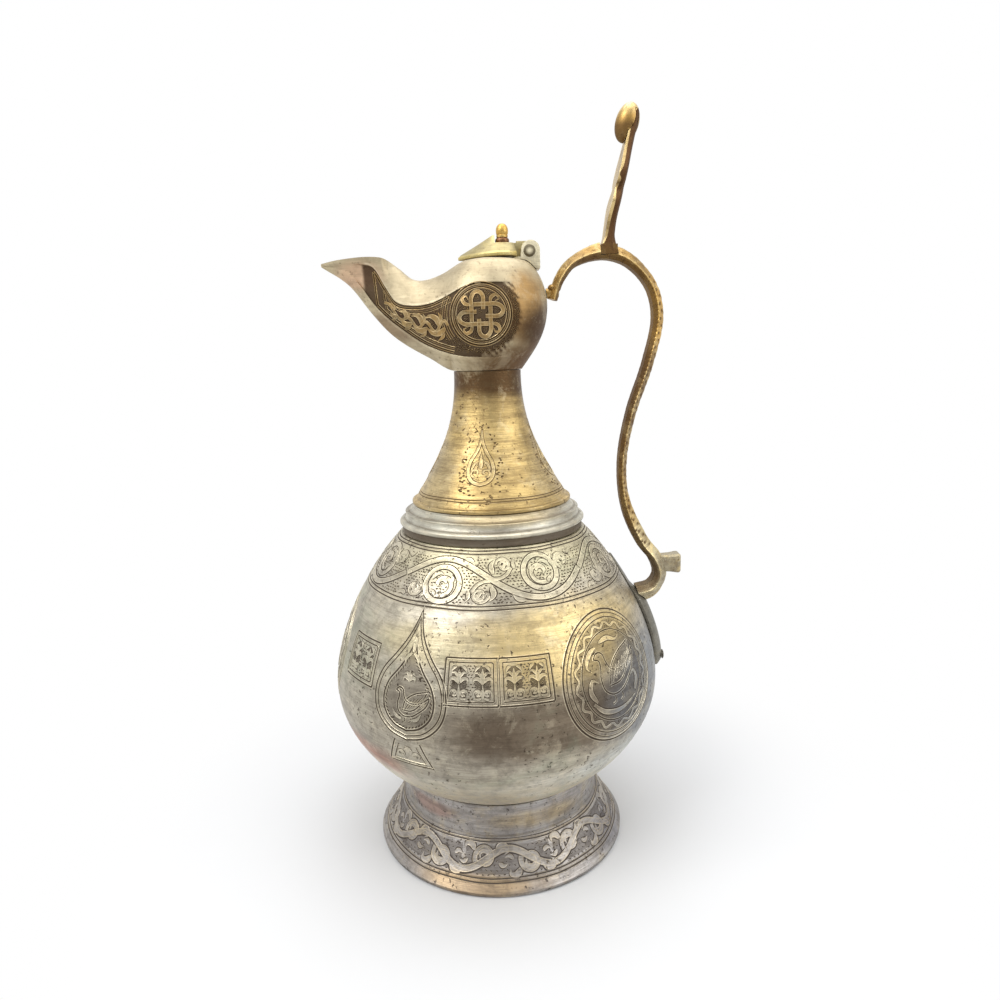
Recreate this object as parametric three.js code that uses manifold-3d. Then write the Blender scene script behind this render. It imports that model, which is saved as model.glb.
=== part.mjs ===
// Bronze ewer with a lamp-shaped head, a hinged lid and a tall strap handle.
// Millimetres, +Z up. The spout points to -X and the handle to +X, and the ewer is
// symmetrical about the plane Y = 0. Heights are measured from the table, and distances
// along X from the vessel's own axis, until the whole group is shifted at the end.

import * as THREE from 'three';
import { mergeVertices } from 'three/addons/utils/BufferGeometryUtils.js';
import Module from 'manifold-3d';

const wasm = await Module();
wasm.setup();

// Fits
const gap = 0.3; // left between pieces that touch
const roundSteps = 48; // facets round the vessel
const hair = 0.05; // corners nearer than this are made one

// Foot: a cast ring, hollow beneath, with a flared skirt and a plain upright collar
const footRimRadius = 60.5;
const footRimEdge = 1.8;
const footWaistRadius = 48.5;
const footFlareHeight = 20.5;
const footFlareSag = 1.4; // how far the skirt is hollowed
const footSeatRadius = 47.3;
const footSeatHeight = 36.3;
const footGroove = 0.8; // step between skirt and collar
const footWall = 2.4;

// Body: a pear-shaped bowl
const bellyRadius = 76.9;
const bellyHeight = 81.4;
const bowlDepthBelowSeat = 8.5; // the rounded bottom hangs inside the foot
const shoulderRadius = 43;
const shoulderHeight = 152.4;
const shoulderRounding = 12.5; // how far the shoulder's curve runs in towards the collar
const bodyWall = 1.9;
const bodySpigotRadius = 39.6;
const bodySpigotLength = 4.6;

// Shoulder collar: a stepped ring that covers the joint of body and neck
const collarBandRadius = 42.4;
const collarBandHeight = 3.4;
const collarFlangeRadius = 43.4;
const collarFlangeHeight = 2.6;
const collarStepRadius = 40.2;
const collarTopRadius = 36.9;
const collarHeight = 12.8;
const collarBoreRadius = 33.6;

// Neck: a tall cone that runs up into a tube
const neckLipRadius = 37.3;
const neckLipHeight = 1.9;
const neckBaseRadius = 35.6;
const neckTopRadius = 15.2;
const neckTopHeight = 225;
const neckWall = 1.7;
const neckSpigotLength = 5; // lower spigot, inside the collar
const neckTenonRadius = 13;
const neckTenonLength = 5; // upper spigot, inside the head

// Head: a round bulb drawn out into an upturned lamp spout
const bulbRadius = 27.8;
const bulbWidestHeight = 27.5; // above the neck's shoulder
const crownHeight = 46.9; // above the neck's shoulder
const crownFlatRadius = 17;
const headFootRadius = 15.8;
const spoutReach = 71.9; // from the vessel's axis to the tip
const saddleHeight = 39.6; // lowest point of the spout's back
const lipHeight = 49;
const lipHalfWidth = 12;
const lipEdge = 1.3;
const keelHalfWidth = 4.2;
const panelDepth = 0.8; // sunk side panels
const headWall = 2;
const lipWall = 1.2;
const fillMouthRadius = 8.2;
const fillMouthX = 2.5;

// Lid, its hinge bracket, its pin and its knob
const hingeX = 20;
const hingeRise = 3.7; // pin above the crown
const pinRadius = 1.1;
const pinHeadRadius = 2.6;
const pinHeadLength = 0.9;
const pinPlay = 0.25;
const pinHeadPlay = 0.15; // between an ear and a pin head
const barrelRadius = 2.1;
const tongueWidth = 5;
const earThickness = 2.8;
const earRadius = 4.1;
const earRise = 4.5; // top of the ears above the pin
const bracketPlate = 1;
const bracketFront = 13.2; // X of the plate's front edge
const bracketBack = 24; // X where the plate's tail ends, over the shoulder
const lidFront = -11.3; // X of the pointed front
const lidBack = 14.4;
const lidHalfWidth = 11.5;
const lidEdge = 1.6;
const lidRise = 9.6; // height of the ridge over the lid's rear edge
const lidRidgeLength = 8;
const lidRidgeHalfWidth = 0.9;
const knobSeatDepth = 3.7; // the washer's seat, sunk below the ridge
const lidKnobX = 8.4;
const knobRadius = 2.7;
const knobLength = 6;
const knobTenonRadius = 1.1;
const washerRadius = 3.1;
const washerThickness = 2;

// Handle: a bevelled strap, from a hooked pad on the head to a root on the body
const handleWidth = 12;
const handleThickness = 4.8;
const gripThickness = 4; // where the hand closes round it
const archThickness = 7.4; // at the thumb piece, on the side towards the head
const archSwell = 18; // length over which the strap thickens to that
const archBackShare = 0.55; // how much of that thickening the far side has
const archTopHeight = 274.3;
const archTopX = 52.5;
const handleReach = 77.5; // farthest point of the strap's middle line
const gripX = 61.8;
const gripHeight = 178;
const heelX = 79.2; // the turn back to the body, at the square stub
const heelHeight = 128.6;
const lowerGripSwell = 1.5; // extra thickness below the grip, on the outer side
const heelSwell = 1.3; // extra thickness at the heel
const rootSwell = 2.6; // and more at the root, where it is brazed
const rootHeight = 118.4;
const padHeight = 255.2; // lower end of the hooked pad
const padStandOff = 3; // its middle line from the head's back
const padThickness = 4.2;
const topRivetHeight = 258;
const rivetRadius = 1.5;
const rivetHeadRadius = 2.3;
const rivetHeadHeight = 0.9;
const clenchHeight = 0.9; // flat end of a rivet inside a wall
const stubReach = 89.9;
const stubWidth = 7.4;
const stubRootHeight = 8;
const stubEndHeight = 9.2;
const stubMiddleHeight = 131.5;

// Leaf-shaped plate on the body under the handle's root
const leafTop = 137;
const leafBottom = 79.5;
const leafHalfWidth = 9;
const leafThickness = 4.6;
const leafTopThickness = 1;
const leafThinStart = 0.6; // share of its height above which it thins out, under the root
const leafRivetRise = 5; // its rivet above the leaf's bottom

// Thumb piece: a lobed upright plate let into the arch, with an egg-shaped knob
const thumbBaseX = 55.1;
const thumbHeight = 56; // from the arch's outer face to the plate's top
const thumbLean = 12.2; // how far the top leans back
const thumbThickness = 4.4;
const thumbBaseThickness = 7.2;
const thumbHalfWidth = 5;
const thumbLobeHalfWidth = 8.6;
const eggLength = 17;
const eggRadius = 5.1;
const eggDrop = 4.7; // its middle below the blade's top
const eggStandOff = 2.6; // its middle from the blade's middle
const thumbCurve = 1.25; // more than 1 bends the blade back towards its top
const thumbHollow = 0.6; // how far the blade's lower half bows forward

// Finishes
const finish = (color, roughness, metalness = 0.9) =>
  new THREE.MeshStandardMaterial({ color, roughness, metalness });
const oliveBronze = () => finish(0x8f8768, 0.48);
const goldenBrass = () => finish(0xa98d4c, 0.42);
const paleBronze = () => finish(0xb9b394, 0.44);
const yellowBrass = () => finish(0xc09a45, 0.36);
const darkBronze = () => finish(0x5c5440, 0.55);
const copperBronze = () => finish(0x8a5a38, 0.5);

// Shared shaping tools
const degrees = (angle) => (angle * Math.PI) / 180;
const mix = (a, b, t) => a + (b - a) * t;
const clamp01 = (t) => Math.min(1, Math.max(0, t));
const ease = (t) => clamp01(t) ** 2 * (3 - 2 * clamp01(t));

// Points along a Bezier curve, both ends included
function bezier(corners, steps) {
  const curve = new THREE.CubicBezierCurve(...corners.map(([x, y]) => new THREE.Vector2(x, y)));
  return curve.getPoints(steps).map((point) => [point.x, point.y]);
}

// A smooth line through [position, value] pairs, read at any position between them
function smoothLine(pairs) {
  const slope = (i) => {
    const before = pairs[Math.max(0, i - 1)];
    const after = pairs[Math.min(pairs.length - 1, i + 1)];
    return (after[1] - before[1]) / (after[0] - before[0]);
  };
  return (position) => {
    const last = pairs.length - 2;
    let i = 0;
    while (i < last && position > pairs[i + 1][0]) i += 1;
    const [x0, y0] = pairs[i];
    const [x1, y1] = pairs[i + 1];
    const span = x1 - x0;
    const t = clamp01((position - x0) / span);
    const t2 = t * t;
    const t3 = t2 * t;
    return (
      (2 * t3 - 3 * t2 + 1) * y0 +
      (t3 - 2 * t2 + t) * span * slope(i) +
      (3 * t2 - 2 * t3) * y1 +
      (t3 - t2) * span * slope(i + 1)
    );
  };
}

// Merge shared corners, drop flat triangles and turn the faces outwards
function closed(geometry) {
  const bare = geometry.clone();
  bare.deleteAttribute('normal');
  bare.deleteAttribute('uv');
  const merged = mergeVertices(bare, 1e-4);
  const place = merged.attributes.position;
  const corner = (i) => new THREE.Vector3().fromBufferAttribute(place, i);
  const kept = [];
  let volume = 0;
  for (let i = 0; i < merged.index.count; i += 3) {
    const [a, b, c] = [0, 1, 2].map((k) => merged.index.getX(i + k));
    if (a !== b && b !== c && c !== a) {
      kept.push([a, b, c]);
      volume += corner(a).dot(corner(b).cross(corner(c)));
    }
  }
  const order = volume < 0 ? ([a, b, c]) => [a, c, b] : (triangle) => triangle;
  merged.setIndex(kept.flatMap(order));
  return merged;
}

// Skin over rings of points; each ring has as many points as the next
function skin(rings, { loop = true, caps = false } = {}) {
  const count = rings[0].length;
  const points = rings.flat();
  const index = [];
  const steps = loop ? count : count - 1;
  for (let i = 0; i + 1 < rings.length; i += 1) {
    for (let j = 0; j < steps; j += 1) {
      const a = i * count + j;
      const b = i * count + ((j + 1) % count);
      index.push(a, b, b + count, a, b + count, a + count);
    }
  }
  const cap = (start, turned) => {
    const middle = new THREE.Vector3();
    for (let j = 0; j < count; j += 1) middle.addScaledVector(points[start + j], 1 / count);
    const centre = points.push(middle) - 1;
    for (let j = 0; j < count; j += 1) {
      const a = start + j;
      const b = start + ((j + 1) % count);
      index.push(...(turned ? [centre, a, b] : [centre, b, a]));
    }
  };
  if (caps) {
    cap(0, false);
    cap((rings.length - 1) * count, true);
  }
  const geometry = new THREE.BufferGeometry().setFromPoints(points);
  geometry.setIndex(index);
  return closed(geometry);
}

// A turned piece: the outline is [radius, height] pairs, and closes on the axis or itself
function turned(outline, steps = roundSteps) {
  const points = outline.map(([radius, height]) => new THREE.Vector2(radius, height));
  const onAxis = outline[0][0] === 0 && outline[outline.length - 1][0] === 0;
  if (!onAxis) points.push(points[0].clone());
  const lathe = new THREE.LatheGeometry(points, steps);
  lathe.rotateX(Math.PI / 2);
  return closed(lathe);
}

function toSolid(geometry) {
  const merged = closed(geometry);
  return new wasm.Manifold(
    new wasm.Mesh({
      numProp: 3,
      vertProperties: new Float32Array(merged.attributes.position.array),
      triVerts: new Uint32Array(merged.index.array),
    })
  );
}

// Draw the ends of every edge shorter than a hair together, and drop the faces that vanish
function withoutHairs(geometry) {
  const place = geometry.attributes.position;
  const corner = (i) => new THREE.Vector3().fromBufferAttribute(place, i);
  const kept = Array.from({ length: place.count }, (_, i) => i);
  const root = (i) => (kept[i] === i ? i : root(kept[i]));
  const triangles = [];
  for (let i = 0; i < geometry.index.count; i += 3) {
    triangles.push([0, 1, 2].map((k) => geometry.index.getX(i + k)));
  }
  for (const triangle of triangles) {
    triangle.forEach((a, k) => {
      const b = triangle[(k + 1) % 3];
      if (corner(a).distanceTo(corner(b)) < hair) kept[root(b)] = root(a);
    });
  }
  const faces = new Map();
  for (const triangle of triangles.map((corners) => corners.map(root))) {
    const key = [...triangle].sort((a, b) => a - b).join();
    if (new Set(triangle).size < 3) continue;
    if (faces.has(key)) faces.delete(key);
    else faces.set(key, triangle);
  }
  geometry.setIndex([...faces.values()].flat());
  return geometry;
}

// The solid as a mesh, without the slivers that a cut can leave beside it
function toGeometry(solid) {
  const [largest] = solid.decompose().sort((a, b) => b.volume() - a.volume());
  const mesh = largest.getMesh();
  const geometry = new THREE.BufferGeometry();
  geometry.setAttribute('position', new THREE.BufferAttribute(mesh.vertProperties, 3));
  geometry.setIndex(new THREE.BufferAttribute(mesh.triVerts, 1));
  return withoutHairs(geometry);
}

const cut = (geometry, ...tools) =>
  toGeometry(tools.reduce((solid, tool) => solid.subtract(toSolid(tool)), toSolid(geometry)));
const join = (geometry, ...others) =>
  toGeometry(others.reduce((solid, other) => solid.add(toSolid(other)), toSolid(geometry)));

const box = (x0, x1, y0, y1, z0, z1) =>
  new THREE.BoxGeometry(x1 - x0, y1 - y0, z1 - z0).translate(
    (x0 + x1) / 2, (y0 + y1) / 2, (z0 + z1) / 2);

// Rods lie with their middle at the point given
const rodAlongY = (radius, length, x, z, steps = 24) =>
  new THREE.CylinderGeometry(radius, radius, length, steps).translate(x, 0, z);
const rodAlongZ = (radius, length, x, z, steps = 24) =>
  new THREE.CylinderGeometry(radius, radius, length, steps).rotateX(Math.PI / 2).translate(x, 0, z);
const rodAlongX = (radius, length, x, z, steps = 16) =>
  new THREE.CylinderGeometry(radius, radius, length, steps).rotateZ(Math.PI / 2).translate(x, 0, z);

// The outline of the body, from its lowest point to the shoulder
const bowlFloor = footSeatHeight - bowlDepthBelowSeat;
const bowlSide = [
  ...bezier([[0, bowlFloor], [20, bowlFloor], [34, bowlFloor + 1], [footSeatRadius, footSeatHeight]], 4),
  ...bezier([
    [footSeatRadius, footSeatHeight],
    [footSeatRadius + 13.6, footSeatHeight + 8.5],
    [bellyRadius, bellyHeight - 20],
    [bellyRadius, bellyHeight],
  ], 5).slice(1),
  ...bezier([
    [bellyRadius, bellyHeight],
    [bellyRadius, bellyHeight + 27],
    [shoulderRadius + shoulderRounding, shoulderHeight - shoulderRounding],
    [shoulderRadius, shoulderHeight],
  ], 8).slice(1),
];

// The same outline moved square to itself, outwards for a positive distance
function offset(outline, distance) {
  return outline.map(([radius, height], i) => {
    const before = outline[Math.max(0, i - 1)];
    const after = outline[Math.min(outline.length - 1, i + 1)];
    const along = new THREE.Vector2(after[0] - before[0], after[1] - before[1]).normalize();
    const moved = radius + along.y * distance;
    return [i === 0 && radius === 0 ? 0 : moved, height - along.x * distance];
  });
}

// A plainer outline for a surface that is hidden inside
const everySecond = (outline) => outline.filter((point, i) => i % 2 === 0);

// The inside of the body's wall, up to just below the shoulder
const bowlInside = everySecond(offset(bowlSide, -bodyWall).slice(0, -1));

// Read a rising outline's radius at a height
function radiusAt(outline, height) {
  const rising = outline.filter(([, z], i) => i === 0 || z > outline[i - 1][1]);
  const i = Math.max(1, rising.findIndex(([, z]) => z >= height));
  const [r0, z0] = rising[i - 1];
  const [r1, z1] = rising[i];
  return mix(r0, r1, (height - z0) / (z1 - z0));
}

function makeBody() {
  const spigotTop = shoulderHeight + bodySpigotLength;
  const bowl = turned([
    ...bowlSide,
    [bodySpigotRadius, shoulderHeight],
    [bodySpigotRadius, spigotTop],
    [bodySpigotRadius - bodyWall, spigotTop],
    [bodySpigotRadius - bodyWall, shoulderHeight - bodyWall],
    ...bowlInside.toReversed(),
  ]);
  return cut(bowl, rodAlongX(rivetRadius + gap, 16, bellyRadius, leafRivetHeight));
}

function makeFoot() {
  const seat = offset(bowlSide, gap);
  const seatInner = footSeatRadius - footWall;
  const heightAt = (radius) => {
    const i = seat.findIndex(([r]) => r >= radius);
    const [r0, z0] = seat[i - 1];
    const [r1, z1] = seat[i];
    return mix(z0, z1, (radius - r0) / (r1 - r0));
  };
  const flareMiddle = (footRimRadius + footWaistRadius) / 2 - footFlareSag;
  const flare = new THREE.QuadraticBezierCurve(
    new THREE.Vector2(footRimRadius, footRimEdge),
    new THREE.Vector2(flareMiddle, (footRimEdge + footFlareHeight) / 2),
    new THREE.Vector2(footWaistRadius, footFlareHeight)
  ).getPoints(5).map((point) => [point.x, point.y]);
  const neckIn = footWaistRadius - footGroove;
  return turned([
    [footRimRadius, 0],
    ...flare,
    [neckIn, footFlareHeight + footGroove],
    [footSeatRadius, heightAt(footSeatRadius)],
    [seatInner, heightAt(seatInner)],
    [neckIn - footWall, footFlareHeight],
    ...flare.slice(1, -1).reverse().map(([radius, height]) => [radius - footWall, height - 0.6]),
    [footRimRadius - footWall - 0.6, footRimEdge - 0.8],
    [footRimRadius - footWall, 0],
  ]);
}

const collarBase = shoulderHeight + gap;
const collarTop = shoulderHeight + collarHeight;

function makeShoulderCollar() {
  const flangeLow = collarBase + collarBandHeight;
  const flangeHigh = flangeLow + collarFlangeHeight;
  const stepHeight = (flangeHigh + collarTop) / 2;
  const ledge = shoulderHeight + bodySpigotLength + gap;
  return turned([
    [bodySpigotRadius + gap, collarBase],
    [collarBandRadius, collarBase],
    [collarBandRadius, flangeLow],
    [collarFlangeRadius, flangeLow + 0.6],
    [collarFlangeRadius, flangeHigh - 0.8],
    [collarStepRadius + 0.8, flangeHigh + 0.4],
    [collarStepRadius + 0.6, stepHeight],
    [collarStepRadius - 0.4, stepHeight + 0.2],
    [collarTopRadius, collarTop - 0.9],
    [collarTopRadius, collarTop],
    [collarBoreRadius, collarTop],
    [collarBoreRadius, ledge],
    [bodySpigotRadius + gap, ledge],
  ]);
}

const neckBase = collarTop + gap;

function makeNeck() {
  const lipTop = neckBase + neckLipHeight;
  const side = bezier([
    [neckBaseRadius, lipTop],
    [neckBaseRadius - 11.5, lipTop + 19],
    [neckTopRadius - 0.3, lipTop + 32],
    [neckTopRadius, neckTopHeight],
  ], 8);
  const spigotRadius = collarBoreRadius - gap;
  const tenonTop = neckTopHeight + neckTenonLength;
  const inner = everySecond(offset(side, -neckWall)).slice(1, -1).reverse();
  return turned([
    [spigotRadius, neckBase],
    [neckLipRadius - 0.5, neckBase],
    [neckLipRadius, neckBase + 0.5],
    [neckLipRadius, lipTop - 0.6],
    [neckLipRadius - 0.6, lipTop],
    ...side,
    [neckTenonRadius, neckTopHeight],
    [neckTenonRadius, tenonTop],
    [neckTenonRadius - neckWall, tenonTop],
    [neckTenonRadius - neckWall, neckTopHeight],
    ...inner,
    [spigotRadius - neckWall, neckBase],
    [spigotRadius - neckWall, neckBase - neckSpigotLength],
    [spigotRadius, neckBase - neckSpigotLength],
  ]);
}

// The head's lines, read at a share of the spout's reach: 0 is the axis and 1 the tip.
// Heights are above the neck's shoulder.
const crownLine = smoothLine([
  [0, crownHeight],
  [0.13, crownHeight - 0.9],
  [0.25, saddleHeight + 2.6],
  [0.36, saddleHeight + 0.1],
  [0.44, saddleHeight + 0.6],
  [0.52, saddleHeight + 5.2],
  [0.59, lipHeight - 0.8],
  [0.66, lipHeight],
  [0.84, lipHeight - 0.3],
  [1, lipHeight - 1],
]);
const keelStart = headFootRadius / spoutReach;
const keelLine = smoothLine([
  [0, 0],
  [keelStart, 0.2],
  [0.35, 5.6],
  [0.5, 12],
  [0.6, 17.7],
  [0.7, 26],
  [0.83, 38.2],
  [1, lipHeight - 1 - lipEdge],
]);
const planLine = smoothLine([
  [0, bulbRadius],
  [0.14, bulbRadius - 1.6],
  [0.28, bulbRadius - 7],
  [0.42, 14.6],
  [0.56, 10.2],
  [0.7, 8.2],
  [0.86, 4.4],
  [1, 0],
]);
const rimLine = smoothLine([
  [0.55, lipHalfWidth - 3.6],
  [0.62, lipHalfWidth - 1],
  [0.72, lipHalfWidth],
  [0.84, lipHalfWidth - 2.8],
  [0.93, lipHalfWidth - 7],
  [1, 0],
]);
const panelTopLine = smoothLine([
  [0, 36.2],
  [0.1, 35.4],
  [0.24, 31],
  [0.33, 28.8],
  [0.44, 28.4],
  [0.54, 30.6],
  [0.6, 37],
  [0.66, 44.6],
  [0.74, 46.6],
]);
const panelBottomLine = smoothLine([
  [0, 5.5],
  [0.17, 6.4],
  [0.36, 11.2],
  [0.52, 19],
  [0.61, 24.4],
  [0.68, 30],
  [0.74, 36.4],
  [0.8, 42.4],
]);

// One rib of the head, from the middle of its underside to the middle of its crown,
// as [half width, height above the neck's shoulder] pairs. The hollow inside has plain
// ribs with fewer points.
function headRib(share, sunk, fullWall) {
  const wall = fullWall > 0 ? mix(fullWall, lipWall, ease((share - 0.6) / 0.2)) : fullWall;
  const low = Math.max(keelLine(share), 0) + wall;
  const crown = crownLine(share);
  const open = ease((share - 0.54) / 0.07);
  const high = mix(crown - wall, crown + wall, open);
  const keelWanted = Math.max(keelHalfWidth * (1 - share ** 3), 0);
  const disc = headFootRadius * Math.sqrt(Math.max(0, 1 - (share / keelStart) ** 2));
  const tipFade = clamp01((1 - share) / 0.06);
  const wide = Math.max(planLine(share) - wall, 0);
  const keel = Math.max(Math.min(Math.max(keelWanted, disc) - wall * 0.4, wide * 0.8), 0) * tipFade;
  const rim = Math.max(rimLine(Math.max(share, 0.55)) - wall, 0);
  const flat = mix(mix(crownFlatRadius, 3, ease(share / 0.3)), rim, open);
  const top = Math.max(flat - wall * 0.5 * (1 - open), 0);
  const rise = high - low;
  const middle = low + rise * mix(bulbWidestHeight / crownHeight, 0.5, ease(share / 0.35));
  const lower = bezier([
    [keel, low],
    [mix(keel, wide, 0.5), low + (middle - low) * mix(0.3, 0.2, share)],
    [wide, middle - (middle - low) * 0.45],
    [wide, middle],
  ], 16);
  const shoulderPull = mix(mix(top, wide, 0.5), mix(top, wide, 0.3), open);
  const upper = bezier([
    [wide, middle],
    [wide, middle + (high - middle) * 0.46],
    [shoulderPull, mix(high, high - 2.2, open)],
    [top, high],
  ], 16);
  const side = [...lower, ...upper.slice(1)];
  const at = (height) => [radiusAt(side, height), height];
  const panelLow = Math.min(Math.max(panelBottomLine(share), low + rise * 0.08), high - rise * 0.35);
  const panelHigh = Math.min(Math.max(panelTopLine(share), panelLow + rise * 0.1), high - rise * 0.06);
  const inset = ([width, height]) => [Math.max(width - sunk, 0), height];
  const between = (a, b, t) => at(mix(a, b, t));
  if (wall > 0) {
    return [
      [0, low],
      [keel, low],
      at(panelLow),
      between(panelLow, panelHigh, 0.5),
      at(panelHigh),
      between(panelHigh, high, 0.45),
      between(panelHigh, high, 0.8),
      [top, high],
      [0, high],
    ];
  }
  return [
    [0, low],
    [keel, low],
    between(low, panelLow, 0.5),
    at(panelLow),
    inset(between(panelLow, panelHigh, 0.03)),
    inset(between(panelLow, panelHigh, 0.25)),
    inset(between(panelLow, panelHigh, 0.5)),
    inset(between(panelLow, panelHigh, 0.75)),
    inset(between(panelLow, panelHigh, 0.97)),
    at(panelHigh),
    between(panelHigh, high, 0.35),
    between(panelHigh, high, 0.62),
    between(panelHigh, high, 0.83),
    between(panelHigh, high, 0.95),
    [top, high],
    [0, high],
  ];
}

const frontShares = [1, 0.975, 0.93, 0.88, 0.82, 0.76, 0.7, 0.65, 0.61, 0.57, 0.53, 0.49,
  0.45, 0.4, 0.35, 0.3, 0.25, 0.2, 0.13, 0.06];
const backSteps = 20;

// The head's skin, grown outwards or, for the hollow inside, drawn inwards by a wall
function headSkin(wall, depth = 0) {
  const depthAt = (share) => depth * ease((0.8 - share) / 0.05);
  const shares = wall > 0 ? everySecond(frontShares) : frontShares;
  const turns = wall > 0 ? backSteps / 2 : backSteps;
  const front = shares.map((share) => {
    const x = -share * (spoutReach - (wall > 0 ? lipWall * 2 : wall));
    const rib = headRib(share, depthAt(share), wall);
    return rib.map(([y, z]) => [x, share === 1 ? 0 : y, z]);
  });
  const raise = ([x, y, z]) => new THREE.Vector3(x, y, z + neckTopHeight + gap);
  const right = front.map((rib) => rib.map(raise));
  const left = front.map((rib) => rib.map(([x, y, z]) => raise([x, -y, z]))).reverse();
  const back = [];
  for (let i = 0; i <= turns; i += 1) {
    const turn = (i / turns) * Math.PI;
    const fade = ease((degrees(30) - Math.min(turn, Math.PI - turn)) / degrees(22));
    const rib = headRib(0, depth * fade, wall);
    back.push(rib.map(([r, z]) => raise([r * Math.sin(turn), r * Math.cos(turn), z])));
  }
  return skin([...right, ...back, ...left], { loop: false });
}

const headBase = neckTopHeight + gap;
const crownZ = headBase + crownHeight;

// Radius of the bulb at a height from the table, on the outside or inside the wall
const bulbFace = (height, wall = 0) => radiusAt(headRib(0, 0, wall).slice(1, -1), height - headBase);

function makeHead() {
  const shell = headSkin(0, panelDepth);
  const hollow = headSkin(headWall);
  const socket = rodAlongZ(neckTenonRadius + gap, 12, 0, headBase + 2, 32);
  const mouth = rodAlongZ(fillMouthRadius, 12, fillMouthX, crownZ, 32);
  const rivetHole = rodAlongX(rivetRadius + gap, 12, bulbRadius, topRivetHeight);
  return cut(shell, hollow, socket, mouth, rivetHole);
}

// Hinge bracket: a plate bent over the head's shoulder, with two ears round the lid's barrel
const hingeZ = crownZ + hingeRise;
const earInner = tongueWidth / 2 + pinPlay;
const earOuter = earInner + earThickness;
const bracketWidth = 2 * earOuter;

function makeHingeBracket() {
  const outline = new THREE.Shape();
  const plateTop = crownZ + gap + bracketPlate;
  outline.moveTo(bracketFront, plateTop - 12);
  outline.lineTo(bracketFront, plateTop);
  outline.lineTo(bracketBack - 1, plateTop);
  outline.lineTo(bracketBack, plateTop - 2);
  outline.lineTo(bracketBack, plateTop - 12);
  outline.closePath();
  const plate = new THREE.ExtrudeGeometry(outline, { depth: bracketWidth, bevelEnabled: false })
    .rotateX(Math.PI / 2).translate(0, bracketWidth / 2, 0);
  const ears = [-1, 1].map((side) => {
    const ear = new THREE.Shape();
    const earTopX = hingeX + 0.5;
    const earTopZ = hingeZ + earRise - earRadius;
    ear.moveTo(earTopX - earRadius - 0.6, plateTop - 3);
    ear.lineTo(earTopX - earRadius, earTopZ);
    ear.absarc(earTopX, earTopZ, earRadius, Math.PI, 0, true);
    ear.lineTo(bracketBack, plateTop - 5);
    ear.closePath();
    return new THREE.ExtrudeGeometry(ear, { depth: earThickness, bevelEnabled: false, curveSegments: 8 })
      .rotateX(Math.PI / 2)
      .translate(0, side > 0 ? earOuter : -earInner, 0);
  });
  const underside = box(bracketFront - 2, bracketBack + 4, -bracketWidth, bracketWidth,
    plateTop - 20, plateTop - 5);
  const pinHole = rodAlongY(pinRadius + pinPlay * 0.4, earOuter * 3, hingeX, hingeZ, 16);
  return cut(join(plate, ...ears), headSkin(-gap), underside, pinHole);
}

function makeHingePin() {
  const headMiddle = earOuter + pinHeadPlay + pinHeadLength / 2;
  const heads = [-1, 1].map((side) => {
    const domed = new THREE.CylinderGeometry(pinHeadRadius * 0.7, pinHeadRadius, pinHeadLength, 16);
    if (side < 0) domed.rotateZ(Math.PI);
    return domed.translate(hingeX, side * headMiddle, hingeZ);
  });
  return join(rodAlongY(pinRadius, headMiddle * 2, hingeX, hingeZ, 16), ...heads);
}

// Lid: a faceted wedge with a pointed front; its tongue ends in the hinge barrel
const lidSlope = 0.03; // the underside falls a little towards the front
const lidUnderside = (x) => crownZ + gap + bracketPlate + gap + (x - lidBack) * lidSlope;
const lidTopZ = lidUnderside(lidBack) + lidRise;
const knobSeatZ = lidTopZ - knobSeatDepth;

function makeLid() {
  const length = lidBack - lidFront;
  const plan = [
    [lidFront, 0],
    [lidFront + length * 0.2, lidHalfWidth * 0.56],
    [lidFront + length * 0.45, lidHalfWidth * 0.9],
    [lidFront + length * 0.68, lidHalfWidth],
    [lidFront + length * 0.88, lidHalfWidth * 0.88],
    [lidBack, lidHalfWidth * 0.62],
  ];
  const loop = [...plan, ...plan.slice(1).reverse().map(([x, y]) => [x, -y])];
  const ridge = loop.map(([x, y]) => [
    lidKnobX - lidRidgeLength * 0.55 + lidRidgeLength * clamp01((x - lidFront) / length - 0.3) / 0.7,
    (lidRidgeHalfWidth * y) / lidHalfWidth,
  ]);
  const ring = (points, height) => points.map(([x, y], i) => new THREE.Vector3(x, y, height(x, i)));
  const wedge = skin([
    ring(loop, (x) => lidUnderside(x)),
    ring(loop, (x) => lidUnderside(x) + lidEdge),
    ring(ridge, () => lidTopZ),
  ], { caps: true });
  const tongueTop = hingeZ + earRise;
  const tongue = new THREE.Shape();
  tongue.moveTo(lidBack - 3, lidUnderside(lidBack) + 0.2);
  tongue.lineTo(lidBack - 3, tongueTop);
  tongue.lineTo(hingeX - 0.6, tongueTop);
  tongue.lineTo(hingeX + barrelRadius * 0.7, hingeZ + barrelRadius * 0.9);
  tongue.absarc(hingeX, hingeZ, barrelRadius, Math.PI * 0.25, -Math.PI / 2, true);
  tongue.lineTo(lidBack + 1, lidUnderside(lidBack) + 0.2);
  tongue.closePath();
  const tongueSolid = new THREE.ExtrudeGeometry(tongue, {
    depth: tongueWidth, bevelEnabled: false, curveSegments: 10,
  }).rotateX(Math.PI / 2).translate(0, tongueWidth / 2, 0);
  const bore = rodAlongY(pinRadius + pinPlay, tongueWidth * 2, hingeX, hingeZ, 16);
  const tenonHole = rodAlongZ(knobTenonRadius + gap, lidRise * 4, lidKnobX, lidTopZ, 16);
  const seat = rodAlongZ(washerRadius + gap, 10, lidKnobX, knobSeatZ + 5, 20);
  return cut(join(wedge, tongueSolid), bore, tenonHole, seat);
}

function makeKnobWasher() {
  const inner = knobTenonRadius + gap;
  const base = knobSeatZ + gap;
  return turned([
    [inner, base],
    [washerRadius, base],
    [washerRadius, base + washerThickness * 0.6],
    [washerRadius - 0.4, base + washerThickness],
    [inner, base + washerThickness],
  ], 16).translate(lidKnobX, 0, 0);
}

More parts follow.
